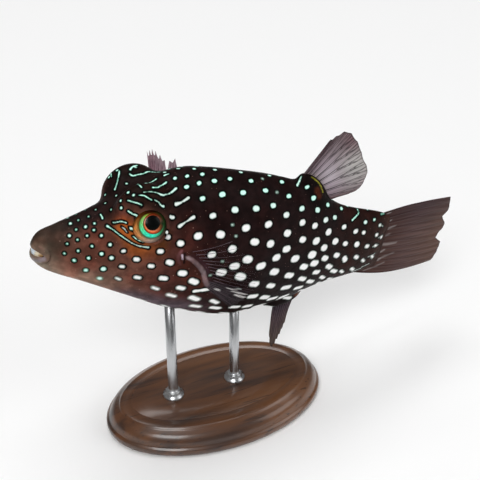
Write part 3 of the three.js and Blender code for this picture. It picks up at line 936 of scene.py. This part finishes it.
def make_skin():
    points, faces = mesh_flesh()
    skin = mesh_object("skin", to_frame(points), faces, ("head", "trunk", "tail_stalk"), "skin")
    x, y, z = body_place(points)
    turn = body_turn(x, y, z)
    add_attribute(skin.data, "mark", nearest_marks(points, turn))
    add_attribute(skin.data, "ground", ground_colours(points, x, turn))
    add_attribute(skin.data, "flecks", 0.25 + 0.6 * (1 - rise(22, 34, x)) * rise(30, 60, np.abs(turn)))
    add_uv(skin.data, skin_uv(faces, x, turn))
    skin.data.materials.append(skin_paint())


make_skin()

# ---- round pieces


def ring_shape(rings):
    """Points, faces and corner map of a closed shape of rings, from one end's point to the other's."""
    rows, around = rings.shape[:2]
    faces, corners = [], []
    for r in range(rows - 1):
        for k in range(around):
            following = (k + 1) % around
            here, there = r * around, (r + 1) * around
            faces.append((here + k, here + following, there + following, there + k))
            corners += [(k, r), (k + 1, r), (k + 1, r + 1), (k, r + 1)]
    last = (rows - 1) * around
    faces += [tuple(range(around))[::-1], tuple(range(last, last + around))]
    corners += [(0, 0)] * around + [(0, rows - 1)] * around
    uv = 0.02 + 0.96 * np.array(corners, float) / (around, rows - 1)
    return rings.reshape(-1, 3), faces, uv


def circle(around):
    """Cosine and sine of evenly spaced turns, as pairs."""
    turns = np.arange(around) * 2 * math.pi / around
    return np.stack([np.cos(turns), np.sin(turns)], -1)


def lathe(profile, centre, around=64):
    """Level rings from rows of a radius, or one each way, and a height."""
    rings = [
        np.column_stack([centre + radius * circle(around), np.full(around, height)])
        for radius, height in profile
    ]
    return np.array(rings)


def round_piece(name, node, rings, slot, material):
    points, faces, uv = ring_shape(rings)
    made = mesh_object(name, points, faces, (node,), slot)
    add_uv(made.data, uv)
    made.data.materials.append(material)
    return made


# ---- eyes

# The eye's rings from the pupil outwards, seen along its axis: name, then rearward and upward of
# the opening's middle, then radius, then colours by degrees round it from the rear over the top.
EYE_RINGS = (
    ("pupil", (0.42, 0.60), 0.0, {0: "#040505"}),
    ("pupil's edge", (0.42, 0.60), 1.16, {0: "#050807"}),
    ("salmon line", (0.43, 0.58), 1.25,
     {0: "#3a2a16", 90: "#a8441e", 180: "#f08a5c", 280: "#f48c60", 330: "#8a5230"}),
    ("orange ring", (0.50, 0.50), 1.42,
     {0: "#16301a", 90: "#7a2c12", 180: "#a8562c", 270: "#e65a28", 330: "#6a381c"}),
    ("dark gap", (0.56, 0.45), 1.62, {0: "#142c16", 90: "#6a220e", 180: "#34180c", 270: "#3a1c10"}),
    ("green ring", (0.55, 0.43), 1.69,
     {0: "#234a20", 70: "#2a4a1c", 100: "#6a240f", 130: "#b4d048",
      180: "#84e484", 230: "#3ce8b4", 270: "#34f0cc", 320: "#3a8a50"}),
    ("its outer side", (0.38, 0.23), 1.90,
     {0: "#1f4420", 60: "#2c5a28", 110: "#6a240f", 140: "#8aba40", 200: "#54dc94",
      250: "#30e4c0", 290: "#3ad0a0", 320: "#2f7a48", 345: "#24522a"}),
    ("its dark edge", (0.36, 0.19), 2.05, {0: "#142a16", 110: "#4a1a0c", 190: "#445420", 270: "#2a5640"}),
    ("crescent", (0.14, 0.05), 2.36,
     {0: "#1e3418", 40: "#26401c", 90: "#38180e", 150: "#b4642a",
      190: "#f09a54", 230: "#d08e56", 270: "#bca08e", 320: "#5a4638"}),
    ("opening of the lids", (0.0, 0.0), 2.7,
     {0: "#16160c", 90: "#22120c", 150: "#8a4a1e", 190: "#c87c38",
      235: "#bc8c66", 270: "#b8a298", 320: "#6a5848"}),
    ("hidden rim", (0.0, 0.0), 3.0, {0: "#120d0a"}),
)
DOME = 0.95              # how high the eye bulges over the dome's foot
SUNK = 0.12              # how far the dome's foot lies under the rim
BALL_DEPTH = 3.6         # from the rim to the back of the eyeball


def iris_colours(ring, turn):
    """Linear colour at a ring number and a turn round the axis, 0 to the rear and 90 to the top."""
    result = np.zeros((len(ring), 3))
    for k, (*_, colours) in enumerate(EYE_RINGS):
        share = np.maximum(0, 1 - np.abs(ring - k))
        shades = np.array([linear(code) for code in colours.values()])
        for channel in range(3):
            result[:, channel] += share * np.interp(turn, list(colours), shades[:, channel], period=360)
    return result


def eye_paint():
    paint = Paint("toby_eye", Roughness=0.3, Coat_Weight=0.12, Coat_Roughness=0.03, Specular_IOR_Level=0.06)
    ring, turn, _ = paint.parts(paint.attribute("eye", "Vector"))
    fibre = paint.plane(paint.times(ring, 1.5), paint.times(turn, 0.28))
    grain = paint.node("TexNoise", {"Vector": fibre, "Scale": 2.0, "Detail": 3.0}).outputs["Fac"]
    shade = paint.step(grain, 0.3, 0.7, 0.72, 1.25)
    paint.set("Base Color", paint.scaled(paint.attribute("iris", "Color"), shade))
    paint.bump(grain, 0.02, 0.3)
    return paint.material


def make_eye(node, sign, material):
    """An eyeball with a domed front, its rings drawn in the mesh."""
    middle, out, rear, top = eye_axes(sign)
    around, front_rings, hidden_rings, back_rings = 96, 110, 5, 11
    rim_ring, last_ring = len(EYE_RINGS) - 2, len(EYE_RINGS) - 1
    turns = np.arange(around) * 360 / around
    ring = circle(around)
    front = np.linspace(0.02, rim_ring, front_rings)
    rings = np.concatenate([front, np.linspace(rim_ring + 0.2, last_ring, hidden_rings)])
    circles = [(*centre, radius) for _, centre, radius, _ in EYE_RINGS]
    rearward, upward, radius = [
        np.interp(rings, np.arange(len(circles)), values)[:, None] for values in np.transpose(circles)
    ]
    flat = np.stack([rearward + radius * ring[:, 0], upward + radius * ring[:, 1]], -1)
    height = EYE["rim"] - SUNK + DOME * (1 - (np.linalg.norm(flat, axis=-1) / EYE["opening"]) ** 2)

    back_turns = np.linspace(0, 0.5 * math.pi, back_rings + 1)[1:]
    back_radius = circles[-1][2] * np.cos(back_turns) + 1e-3
    back_height = height[-1].mean() - BALL_DEPTH * np.sin(back_turns)
    flat = np.concatenate([flat, back_radius[:, None, None] * ring])
    height = np.concatenate([height, np.repeat(back_height[:, None], around, 1)])
    points = middle + flat[..., :1] * rear + flat[..., 1:] * top + height[..., None] * out
    points, faces, uv = ring_shape(points[:, ::-1] if sign > 0 else points)
    ball = mesh_object(node + "_ball", to_frame(points), faces, (node,), "eye")
    ring_of = np.repeat(np.concatenate([rings, np.full(back_rings, float(last_ring))]), around)
    turn_of = np.tile(turns[::-1] if sign > 0 else turns, len(height))
    add_attribute(ball.data, "eye", np.stack([ring_of, turn_of / 10, 0 * ring_of], -1))
    add_attribute(ball.data, "iris", iris_colours(ring_of, turn_of))
    add_uv(ball.data, uv)
    ball.data.materials.append(material)


eye_material = eye_paint()
make_eye("eye_left", 1, eye_material)
make_eye("eye_right", -1, eye_material)

# ---- beak

# The bite lies low, so that the upper plate fills the gape and the lower lip hides the lower one.
PLATE = {"centre": (1.5, 0.0, -0.26), "radii": (1.75, 1.78), "slit": 0.06, "groove": (0.1, 0.07)}
UPPER_HEIGHT, LOWER_HEIGHT = 2.0, -1.1
# The corner colour is painted shade, where the plate's sides run under the lips into the mouth's corners.
BEAK_COLOURS = {"edge": "#cfdbe6", "middle": "#e6d8bc", "stain": "#ab8450", "corner": "#3f2c1c"}


def beak_paint():
    paint = Paint("toby_beak", Roughness=0.3, Coat_Weight=0.4, Coat_Roughness=0.1)
    corner = paint.wander(paint.attribute("corner"), 2.0, 3, 0.12)
    colour = paint.mix(paint.step(corner, 0.3, 0.7), BEAK_COLOURS["edge"], BEAK_COLOURS["middle"])
    colour = paint.mix(paint.step(corner, 0.74, 0.92), colour, BEAK_COLOURS["stain"])
    # painted shade at the plate's sides, in the mouth's corners
    paint.set("Base Color", paint.mix(paint.step(corner, 0.94, 1.0), colour, BEAK_COLOURS["corner"]))
    paint.bump(paint.noise(3.0, 2, (1, 1, 0.15)), 0.03, 0.5)
    return paint.material


def make_beak(name, node, height, material):
    """A dental plate: half an egg of that height over its level bite edge, grooved down the middle."""
    around, crown_rings = 72, 20
    deep, wide = PLATE["groove"]
    cosine, sine = circle(around).T
    quarter = 0.5 * math.pi
    levels = np.concatenate([np.linspace(0.01, quarter, crown_rings), np.full(5, quarter)])
    shrink = np.concatenate([np.ones(crown_rings), [0.97, 0.8, 0.5, 0.2, 0.01]])
    rings, corners = [], []
    for level, inward in zip(levels, shrink):
        x = -PLATE["radii"][0] * math.sin(level) * cosine * inward
        y = PLATE["radii"][1] * math.sin(level) * sine * inward
        groove = deep * np.exp(-(y / wide) ** 2) * (x < 0) * math.sin(level)
        z = math.copysign(PLATE["slit"] / 2, height) + height * math.cos(level)
        rings.append(np.array(PLATE["centre"]) + np.stack([x + groove, y, np.full(around, z)], -1))
        corners.append(np.abs(y) / PLATE["radii"][1])
    rings, corners = np.array(rings), np.array(corners)
    if height > 0:
        rings, corners = rings[:, ::-1], corners[:, ::-1]
    plate = round_piece(name, node, to_frame(rings), "beak", material)
    add_attribute(plate.data, "corner", corners.reshape(-1))


beak_material = beak_paint()
make_beak("upper_plate", "beak_upper", UPPER_HEIGHT, beak_material)
make_beak("lower_plate", "beak_lower", LOWER_HEIGHT, beak_material)

# ---- fins


def fan(root, tip, bow=0.0):
    """Place of a fin's sheet from 0 at the roots to 1 at the tips and from its first ray to its last."""
    roots, tips = curve_through(root), curve_through(tip)

    def place(out, across):
        point = roots(across) + out[..., None] * (tips(across) - roots(across))
        point[..., 1] += bow * np.sin(math.pi * out)
        return point

    return place


TAIL_ROOT = ((-1.5, 5.2), (-4.5, -6.3))      # behind the tail root and above the axis: top, foot
TAIL_SWELL = (0.75, -1.2)                    # how far the top ray bows up, and the lowest one
TAIL_SWING = 0.8 / 18**2
tail_rear = smooth((0, 0.2, 0.27, 0.4, 0.57, 0.68, 0.85, 1), (18.2, 18.9, 17.8, 19.3, 18.0, 20.0, 19.9, 19.0))
tail_height = smooth((0, 0.27, 0.57, 1), (6.9, 2.7, -2.2, -7.9))


def tail_sheet(out, across):
    """Place on the tail fin, which lies in the plane of the tail."""
    middle, along, sideways, up = spine(np.array(LENGTH))
    (top_at, top_height), (foot_at, foot_height) = TAIL_ROOT
    start = top_at + (foot_at - top_at) * across
    start_height = top_height + (foot_height - top_height) * across
    behind = start + (tail_rear(across) - start) * out
    above = start_height + (tail_height(across) - start_height) * out
    above = above + (TAIL_SWELL[0] + (TAIL_SWELL[1] - TAIL_SWELL[0]) * across) * np.sin(math.pi * out)
    swing = TAIL_SWING * behind**2
    return middle + behind[..., None] * along + above[..., None] * up + swing[..., None] * sideways


def fin_colours(fin, out, across):
    """Linear colour: a run of colours from roots to tips, with soft round tints over it."""
    shades = np.array([linear(code) for code in fin["colours"]])
    stops = np.linspace(0, 1, len(shades))
    colours = np.stack([smooth(stops, shades[:, channel])(out) for channel in range(3)], -1)
    for code, strength, middle, reach in fin.get("tints", ()):
        away = ((out - middle[0]) / reach[0]) ** 2 + ((across - middle[1]) / reach[1]) ** 2
        share = (strength * np.exp(-away))[..., None]
        colours = colours + share * (linear(code) - colours)
    return colours


# Places on a fin are (out, across): 0 at the roots to 1 at the tips, and from its first ray to its
# last. Tints are a code, a strength, the middle's place and the reach both ways. Streaks are a
# strength and a half width in mm, then places; span is the fin's length and height in mm. Rods are a
# clear fin's rays as a piece of its own, with radii at roots and tips from the first ray to the last.
# Notches are how deep the margin dips between the tips, as a share of the length, and split is where
# it dips most. Crowding under 1 draws the rays together towards the first one.
FINS = {
    "dorsal": {
        "node": "dorsal_fin", "slot": "fin", "rays": 9, "crowding": 0.75, "notch": 0.015, "alpha": 0.9,
        "place": fan(
            ((44.4, 0, 12.8), (47.0, 0, 11.6), (49.6, 0, 9.0)),
            ((48.4, 0, 21.4), (51.1, 0, 23.1), (53.8, 0, 21.3), (56.0, 0, 18.3), (58.0, 0, 15.2),
             (57.6, 0, 12.5), (55.6, 0, 10.9)),
        ),
        "colours": ("#7a7832", "#92828c", "#9a8c92", "#948486"),
        "tints": (
            ("#43272f", 0.9, (0.7, 0.0), (0.8, 0.16)),
            ("#50302f", 0.9, (0.6, 1.0), (0.9, 0.16)),
            ("#cac8c4", 0.8, (0.85, 0.55), (0.28, 0.2)),
            ("#c6bcc4", 0.7, (0.4, 0.45), (0.16, 0.2)),
            ("#6a434c", 0.7, (1.0, 0.28), (0.25, 0.12)),
        ),
        "line": "#1d1116", "line_strength": 0.95,
    },
    "anal": {
        "node": "anal_fin", "slot": "fin", "rays": 8, "notch": 0.02, "alpha": 0.92,
        "place": fan(
            ((47.0, 0, -10.4), (49.0, 0, -9.6), (50.9, 0, -9.2)),
            ((48.4, 0.4, -19.6), (50.0, 0.8, -23.2), (51.1, 1.3, -21.2), (52.0, 2.0, -18.4)),
            bow=0.4,
        ),
        "colours": ("#3a2e31", "#554650", "#635254", "#64564c"),
        "tints": (
            ("#120c0e", 0.9, (0.0, 0.0), (0.45, 0.4)),
            ("#74381a", 0.9, (0.05, 1.0), (0.16, 0.35)),
        ),
        "line": "#21161a", "line_strength": 0.7,
    },
    "tail": {
        "node": "caudal_fin", "slot": "fin", "rays": 10, "notch": 0.01, "alpha": 1.0,
        "place": tail_sheet,
        "colours": ("#331c17", "#452e29", "#54403e", "#604a42"),
        "tints": (
            ("#32232a", 0.6, (0.7, 0.0), (0.6, 0.25)),
            ("#6e5248", 0.5, (1.0, 0.65), (0.4, 0.3)),
        ),
        "line": "#281a1d", "line_strength": 0.4,
        "span": (20.0, 13.0),
        "streaks": (
            (0.14, 0.2, (0.22, 0.53), (0.35, 0.54), (0.46, 0.53)),
            (0.16, 0.14, (0.2, 0.33), (0.28, 0.29), (0.36, 0.27)),
            (0.14, 0.1, (0.22, 0.42), (0.31, 0.38)),
            (0.2, 0.11, (0.24, 0.7), (0.34, 0.62)),
            (0.12, 0.18, (0.26, 0.82), (0.35, 0.74), (0.44, 0.69)),
            (0.13, 0.1, (0.2, 0.88), (0.32, 0.77)),
            (0.13, 0.1, (0.2, 0.97), (0.3, 0.9), (0.38, 0.84)),
            (0.22, 0.1, (0.2, 0.18), (0.26, 0.16)),
            (0.22, 0.1, (0.16, 0.02), (0.21, 0.02)),
        ),
    },
    "pectoral_left": {
        "node": "pectoral_fin_left", "slot": "clear_fin", "rays": 9, "notch": 0.03, "alpha": 0.02,
        "place": fan(
            ((22.9, -6.6, 3.3), (25.9, -6.9, 1.4), (27.4, -6.9, -1.3)),
            ((29.4, -9.6, 7.4), (33.0, -10.6, 4.2), (35.4, -10.2, 0.2), (36.2, -9.2, -2.8)),
            bow=-0.5,
        ),
        "colours": ("#54434a", "#4c3e45", "#483b41"),
        "line": "#2c2226", "line_strength": 0.6,
        "rods": ((0.06, 0.04), (0.1, 0.012), (0.1, 0.01), (0.11, 0.012), (0.13, 0.025)),
    },
    "pectoral_left_fold": {
        "node": "pectoral_fin_left", "slot": "clear_fin", "rays": 5, "notch": 0.08, "alpha": 0.9,
        "place": fan(
            ((27.4, -7.3, -1.5), (28.3, -7.3, -3.1)),
            ((36.2, -8.6, -3.6), (35.9, -8.1, -5.3), (33.6, -7.7, -7.3)),
            bow=-0.3,
        ),
        "colours": ("#62565c", "#3c3237", "#30272b"),
        "line": "#0c090b", "line_strength": 0.9,
        "span": (8.0, 3.4),
        # The fold's pale streaks are painted highlights along its rays.
        "streaks": (
            (1.0, 0.34, (0.22, 0.66), (0.34, 0.5)),
            (1.0, 0.16, (0.62, 0.24), (0.95, 0.2)),
            (1.0, 0.16, (0.72, 0.44), (0.98, 0.42)),
            (0.7, 0.12, (0.5, 0.1), (0.7, 0.05)),
        ),
    },
    "pectoral_right": {
        "node": "pectoral_fin_right", "slot": "clear_fin", "rays": 11, "notch": 0.1, "alpha": 0.85,
        "split": 0.5,
        "place": fan(
            ((22.9, 6.6, 3.3), (25.9, 6.9, 1.4), (27.9, 6.8, -2.6)),
            ((21.6, 13, 11.4), (22.6, 13, 11.8), (24.6, 13, 10.6), (26.7, 13, 10.4), (30.0, 12.7, 5.8),
             (32.2, 11.6, -1.0)),
            bow=0.8,
        ),
        "colours": ("#6c4a58", "#a8808f", "#c0a4ae"),
        "tints": (("#96586c", 0.6, (0.6, 0.1), (0.5, 0.15)),),
        "line": "#3c1526", "line_strength": 1.0,
    },
}
SPLIT_DEPTH = 0.2        # share of the length
SPLIT_RAYS = 0.8         # half its width, in spaces between rays
MEMBRANE = 0.05          # half thickness between the rays
RAY = (0.24, 0.08)       # half thickness of a ray at its root and at its tip
PLEAT = 0.09             # how far the sheet waves between the rays, at the tips
# Forks of a ray: how far its branches part, in shares of the space between rays, and where they
# start and end, from 0 at the root to 1 at the tip.
FORKS = ((0.24, 0.35, 0.85), (0.12, 0.62, 1.0))
ROD_REACH = 0.985        # share of the sheet's length
ROD_TAPER = 2.5          # power of the thinning from root to tip
# Colour of the tail's pale streaks, and of the painted highlights on the folded pectoral fin.
STREAK_AND_HIGHLIGHT_COLOUR = "#f2eeec"


def ray_place(fin, across):
    """Number of the ray at each place, from 0 for the first one."""
    return fin["rays"] * across ** fin.get("crowding", 1.0)


def fin_reach(fin, across):
    """Share of its length that each ray reaches, with dips between the tips."""
    reach = 1 - fin["notch"] * np.abs(np.sin(math.pi * ray_place(fin, across)))
    if "split" in fin:
        away = np.abs(across - fin["split"]) * fin["rays"]
        reach = reach - SPLIT_DEPTH * np.maximum(0, 1 - away / SPLIT_RAYS)
    return reach


def ray_height(fin, out, across, spread):
    """1 along the middle of each ray, 0 between rays; each ray forks twice on its way out."""
    place = ray_place(fin, across)
    away = np.abs(place - np.round(place))
    for reach, start, end in FORKS:
        away = np.abs(away - reach * rise(start, end, out))
    width = 0.2 - 0.13 * out
    return np.exp(-((away * spread / width) ** 2))


def fin_paint(name, fin):
    paint = Paint(name, Roughness=0.45, Specular_IOR_Level=0.08, Alpha=fin["alpha"])
    out, across, ray = paint.parts(paint.attribute("fin", "Vector"))
    streaks = paint.plane(paint.times(out, 2.0), paint.times(across, 26.0))
    noise = paint.node("TexNoise", {"Vector": streaks, "Scale": 1.0, "Detail": 3.0}).outputs["Fac"]
    shade = paint.step(noise, 0.3, 0.7, 0.8, 1.2)
    colour = paint.scaled(paint.attribute("tint", "Color"), shade)
    edge = paint.times(paint.step(ray, 0.08, 0.35), paint.step(ray, 0.6, 0.9, 1.0, 0.15))
    fade = paint.step(out, 0.3, 1.0, fin["line_strength"], 0.7 * fin["line_strength"])
    colour = paint.mix(paint.times(edge, fade), colour, fin["line"])
    margin = paint.step(out, 0.975, 0.995, 0.0, 0.6)
    paint.set("Base Color", paint.mix(margin, colour, fin["line"]))
    paint.bump(noise, 0.03, 0.4)
    return paint.material


def add_streaks(fin, out, across, tint):
    """Pale streaks: the tail's run on from the skin's spots; the fold's are painted highlights."""
    length, height = fin["span"]
    points = np.stack([out * length, across * height, 0 * out], -1).reshape(-1, 3)
    for strength, width, *places in fin["streaks"]:
        path = [(o * length, a * height, 0) for o, a in places]
        distance = bent_tube(points, path, (0.5 * width, width, 0.5 * width))
        share = (strength * (1 - rise(-0.5 * width, 0.2, distance)))[:, None]
        tint = tint + share * (linear(STREAK_AND_HIGHLIGHT_COLOUR) - tint)
    return tint


def make_rods(name, fin):
    """The rays of a clear fin, as fine tapering rods that lie in its sheet."""
    steps, around = 28, 8
    cosine, sine = circle(around).T[:, :, None]
    radii = curve_through(fin["rods"])
    points, faces, corners, tints = [], [], [], []
    for ray in range(fin["rays"] + 1):
        share = ray / fin["rays"]
        out, across = np.linspace(0, ROD_REACH, steps), np.full(steps, share)
        line = fin["place"](out, across)
        along = unit(np.gradient(line, axis=0))
        level = unit(np.cross(along, (0, 1, 0)))
        outward = np.cross(level, along)
        root_radius, tip_radius = radii(share)
        radius = tip_radius + (root_radius - tip_radius) * (1 - out) ** ROD_TAPER
        away = level[:, None] * cosine + outward[:, None] * sine
        rings = line[:, None] + radius[:, None, None] * away
        rod_points, rod_faces, rod_uv = ring_shape(rings)
        faces += [tuple(corner + len(rod_points) * ray for corner in face) for face in rod_faces]
        points.append(rod_points)
        corners.append((rod_uv + (ray, 0)) / (fin["rays"] + 1, 1))
        tints.append(np.repeat(fin_colours(fin, out, across), around, 0))
    rods = mesh_object(name, to_frame(np.concatenate(points)), faces, (fin["node"],), fin["slot"])
    add_uv(rods.data, np.concatenate(corners))
    add_attribute(rods.data, "tint", np.concatenate(tints))
    paint = Paint(name + "_paint", Roughness=0.45, Specular_IOR_Level=0.2)
    mottle = paint.step(paint.noise(1.2, 3), 0.3, 0.7, 0.7, 1.25)
    paint.set("Base Color", paint.scaled(paint.attribute("tint", "Color"), mottle))
    rods.data.materials.append(paint.material)


def make_fin(name, fin):
    """A closed thin sheet with raised, forking rays."""
    rows, columns = 64, 14 * fin["rays"] + 1
    out, across = np.meshgrid(np.linspace(0, 1, rows), np.linspace(0, 1, columns), indexing="ij")
    reach = fin_reach(fin, across)
    middle = fin["place"](out * reach, across)
    outward, sideways = np.gradient(middle, axis=0), np.gradient(middle, axis=1)
    normal = unit(np.cross(outward, sideways))
    place = ray_place(fin, across)
    spread = np.linalg.norm(sideways, axis=-1) / np.maximum(np.gradient(place, axis=1), 1e-6)
    ray = ray_height(fin, out, across, spread)
    pleat = PLEAT * np.cos(2 * math.pi * place) * out
    middle = middle + pleat[..., None] * normal
    half = MEMBRANE + ray * (RAY[0] + (RAY[1] - RAY[0]) * out - MEMBRANE)
    half = half * (0.35 + 0.65 * rise(0, 0.03, 1 - out))
    sheet = np.concatenate([
        (middle + half[..., None] * normal).reshape(-1, 3),
        (middle - half[..., None] * normal).reshape(-1, 3),
    ])

    count = rows * columns
    number = np.arange(count).reshape(rows, columns)
    front = np.stack([number[:-1, :-1], number[1:, :-1], number[1:, 1:], number[:-1, 1:]], -1)
    front = front.reshape(-1, 4)
    back_side = front[:, ::-1] + count
    rim = np.concatenate([number[0], number[1:, -1], number[-1, -2::-1], number[-2:0:-1, 0]])
    following = np.roll(rim, -1)
    edge = np.stack([rim, following, following + count, rim + count], -1)
    faces = np.concatenate([front, back_side, edge])
    made = mesh_object(name, to_frame(sheet), faces, (fin["node"],), fin["slot"])

    map_place = np.stack([0.02 + 0.44 * across, 0.02 + 0.96 * out], -1).reshape(-1, 2)
    uv = map_place[faces % count]
    uv[len(front):2 * len(front), :, 0] += 0.5
    add_uv(made.data, uv.reshape(-1, 2))
    flat = np.stack([out, across, ray], -1).reshape(-1, 3)
    add_attribute(made.data, "fin", np.concatenate([flat, flat]))
    tint = fin_colours(fin, out, across).reshape(-1, 3)
    if "streaks" in fin:
        tint = add_streaks(fin, out, across, tint)
    add_attribute(made.data, "tint", np.concatenate([tint, tint]))
    made.data.materials.append(fin_paint(name + "_paint", fin))


for fin_name, fin in FINS.items():
    make_fin(fin_name + "_sheet", fin)
    if "rods" in fin:
        make_rods(fin_name + "_rays", fin)

# ---- display stand


def wood_paint():
    paint = Paint("walnut", Coat_Weight=0.5, Coat_Roughness=0.15)
    grain = paint.noise(0.35, 6, (0.12, 1.0, 1.0))
    figure = paint.noise(0.09, 3, (0.25, 1.0, 1.0))
    colour = paint.mix(paint.step(grain, 0.35, 0.65), "#2e1a10", "#5e3a22")
    colour = paint.mix(paint.step(figure, 0.4, 0.65, 0.0, 0.5), colour, "#7a4f2e")
    pores = paint.step(paint.noise(2.2, 2, (0.05, 1.0, 1.0)), 0.62, 0.7, 0.0, 0.7)
    paint.set("Base Color", paint.mix(pores, colour, "#1c0f09"))
    paint.set("Roughness", paint.step(grain, 0.3, 0.7, 0.42, 0.3))
    paint.bump(pores, 0.05, -0.6)
    return paint.material


def steel_paint():
    paint = Paint("brushed_steel", Metallic=1.0)
    brushed = paint.noise(1.2, 3, (1.0, 1.0, 0.06))
    paint.set("Base Color", paint.mix(brushed, "#a9abae", "#d2d3d4"))
    paint.set("Roughness", paint.step(brushed, 0.3, 0.7, 0.22, 0.4))
    paint.bump(brushed, 0.02, 0.3)
    return paint.material


# Inset from the base's edge and height, in millimetres, from its foot up to the top's middle.
BASE_PROFILE = (
    (0.9, 0.0), (0.5, 0.12), (0.15, 0.45), (0.0, 0.9), (0.0, 1.5), (0.1, 1.75), (0.4, 1.9), (0.55, 2.1),
    (0.65, 2.6), (0.9, 3.2), (1.3, 3.8), (1.8, 4.2), (2.4, 4.5), (2.55, 4.65), (2.7, 4.88), (3.0, 5.0),
    (4.6, 5.0), (4.7, 4.92), (4.9, 4.92), (5.0, 5.0), (9.0, 5.0),
)
BASE_HEIGHT = 5.0
# Radius and height above the base, in millimetres.
FERRULE = (
    (1.9, -0.1), (1.95, 0.1), (1.9, 0.35), (1.55, 0.5), (1.35, 0.85), (1.3, 1.2), (1.15, 1.3), (0.9, 1.35),
)
BARE_ROD = 2.0           # height above the base where the rod's own steel starts
TIP = 0.01               # radius of the last ring at the ends of round pieces


def make_base(material):
    low, high = map(np.array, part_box("stand_base"))
    half, centre = (high - low)[:2] / 2, (high + low)[:2] / 2
    middle = half.min() / MM - TIP
    profile = [
        (half - inset * MM, low[2] + height * MM)
        for inset, height in ((middle, 0.0), *BASE_PROFILE, (middle, BASE_HEIGHT))
    ]
    round_piece("base_wood", "stand_base", lathe(profile, centre, 160), "wood", material)


def make_rod(node, material):
    low, high = map(np.array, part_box(node))
    top_of_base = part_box("stand_base")[1][2]
    rod_radius = (high[0] - low[0]) / 2
    rows = [(TIP, FERRULE[0][1]), *FERRULE]
    profile = [(radius * MM, top_of_base + height * MM) for radius, height in rows]
    profile += [(rod_radius, top_of_base + BARE_ROD * MM), (rod_radius, high[2]), (TIP * MM, high[2])]
    round_piece(node + "_steel", node, lathe(profile, (high + low)[:2] / 2), "steel", material)


make_base(wood_paint())
steel_material = steel_paint()
for rod_node in ("stand_rod_front", "stand_rod_rear"):
    make_rod(rod_node, steel_material)

# ---- camera, light and floor

VIEW = {"azimuth": -23, "elevation": 35.5, "distance": 0.190, "lens": 82.5}
AIM = (36.45, 0.0, 1.47)
# Name, place in metres, width in metres and watts.
LIGHTS = (
    ("key", (-0.62, -0.87, 1.12), 0.62, 10.9),
    ("fill", (1.0, -0.75, 0.75), 0.75, 3.7),
    ("top", (0.0, 0.25, 1.5), 1.0, 12.2),
)
FLOOR_REACH = 3.0
SKY_STRENGTH = 0.16


def add_camera():
    camera = bpy.data.objects.new("camera", bpy.data.cameras.new("camera"))
    bpy.context.scene.collection.objects.link(camera)
    a, e = math.radians(VIEW["azimuth"]), math.radians(VIEW["elevation"])
    away = Vector((math.sin(a) * math.cos(e), -math.cos(a) * math.cos(e), math.sin(e)))
    camera.location = Vector(to_frame(AIM)) + away * VIEW["distance"]
    camera.rotation_euler = (-away).to_track_quat("-Z", "Y").to_euler()
    camera.data.sensor_width = 36
    camera.data.lens = VIEW["lens"]
    camera.data.clip_start = 0.01
    bpy.context.scene.camera = camera


def add_light(name, place, size, watts):
    data = bpy.data.lights.new(name, "AREA")
    data.size = size
    data.energy = watts
    lamp = bpy.data.objects.new(name, data)
    lamp.location = place
    aim = (CAD_LOW + CAD_HIGH) / 2
    lamp.rotation_euler = (aim - Vector(place)).to_track_quat("-Z", "Y").to_euler()
    bpy.context.scene.collection.objects.link(lamp)


def add_floor():
    mesh = bpy.data.meshes.new("floor")
    corners = [(x * FLOOR_REACH, y * FLOOR_REACH, 0) for x, y in ((-1, -1), (1, -1), (1, 1), (-1, 1))]
    mesh.from_pydata(corners, [], [(0, 1, 2, 3)])
    floor = bpy.data.objects.new("floor", mesh)
    bpy.context.scene.collection.objects.link(floor)
    mesh.materials.append(Paint("floor", Base_Color=(0.97, 0.97, 0.97, 1), Roughness=0.8).material)


def add_sky():
    world = bpy.data.worlds.new("world")
    bpy.context.scene.world = world
    world.use_nodes = True
    sockets = world.node_tree.nodes["Background"].inputs
    sockets["Color"].default_value = (1, 1, 1, 1)
    sockets["Strength"].default_value = SKY_STRENGTH


add_camera()
for light in LIGHTS:
    add_light(*light)
add_floor()
add_sky()
bpy.context.scene.view_settings.view_transform = "Standard"
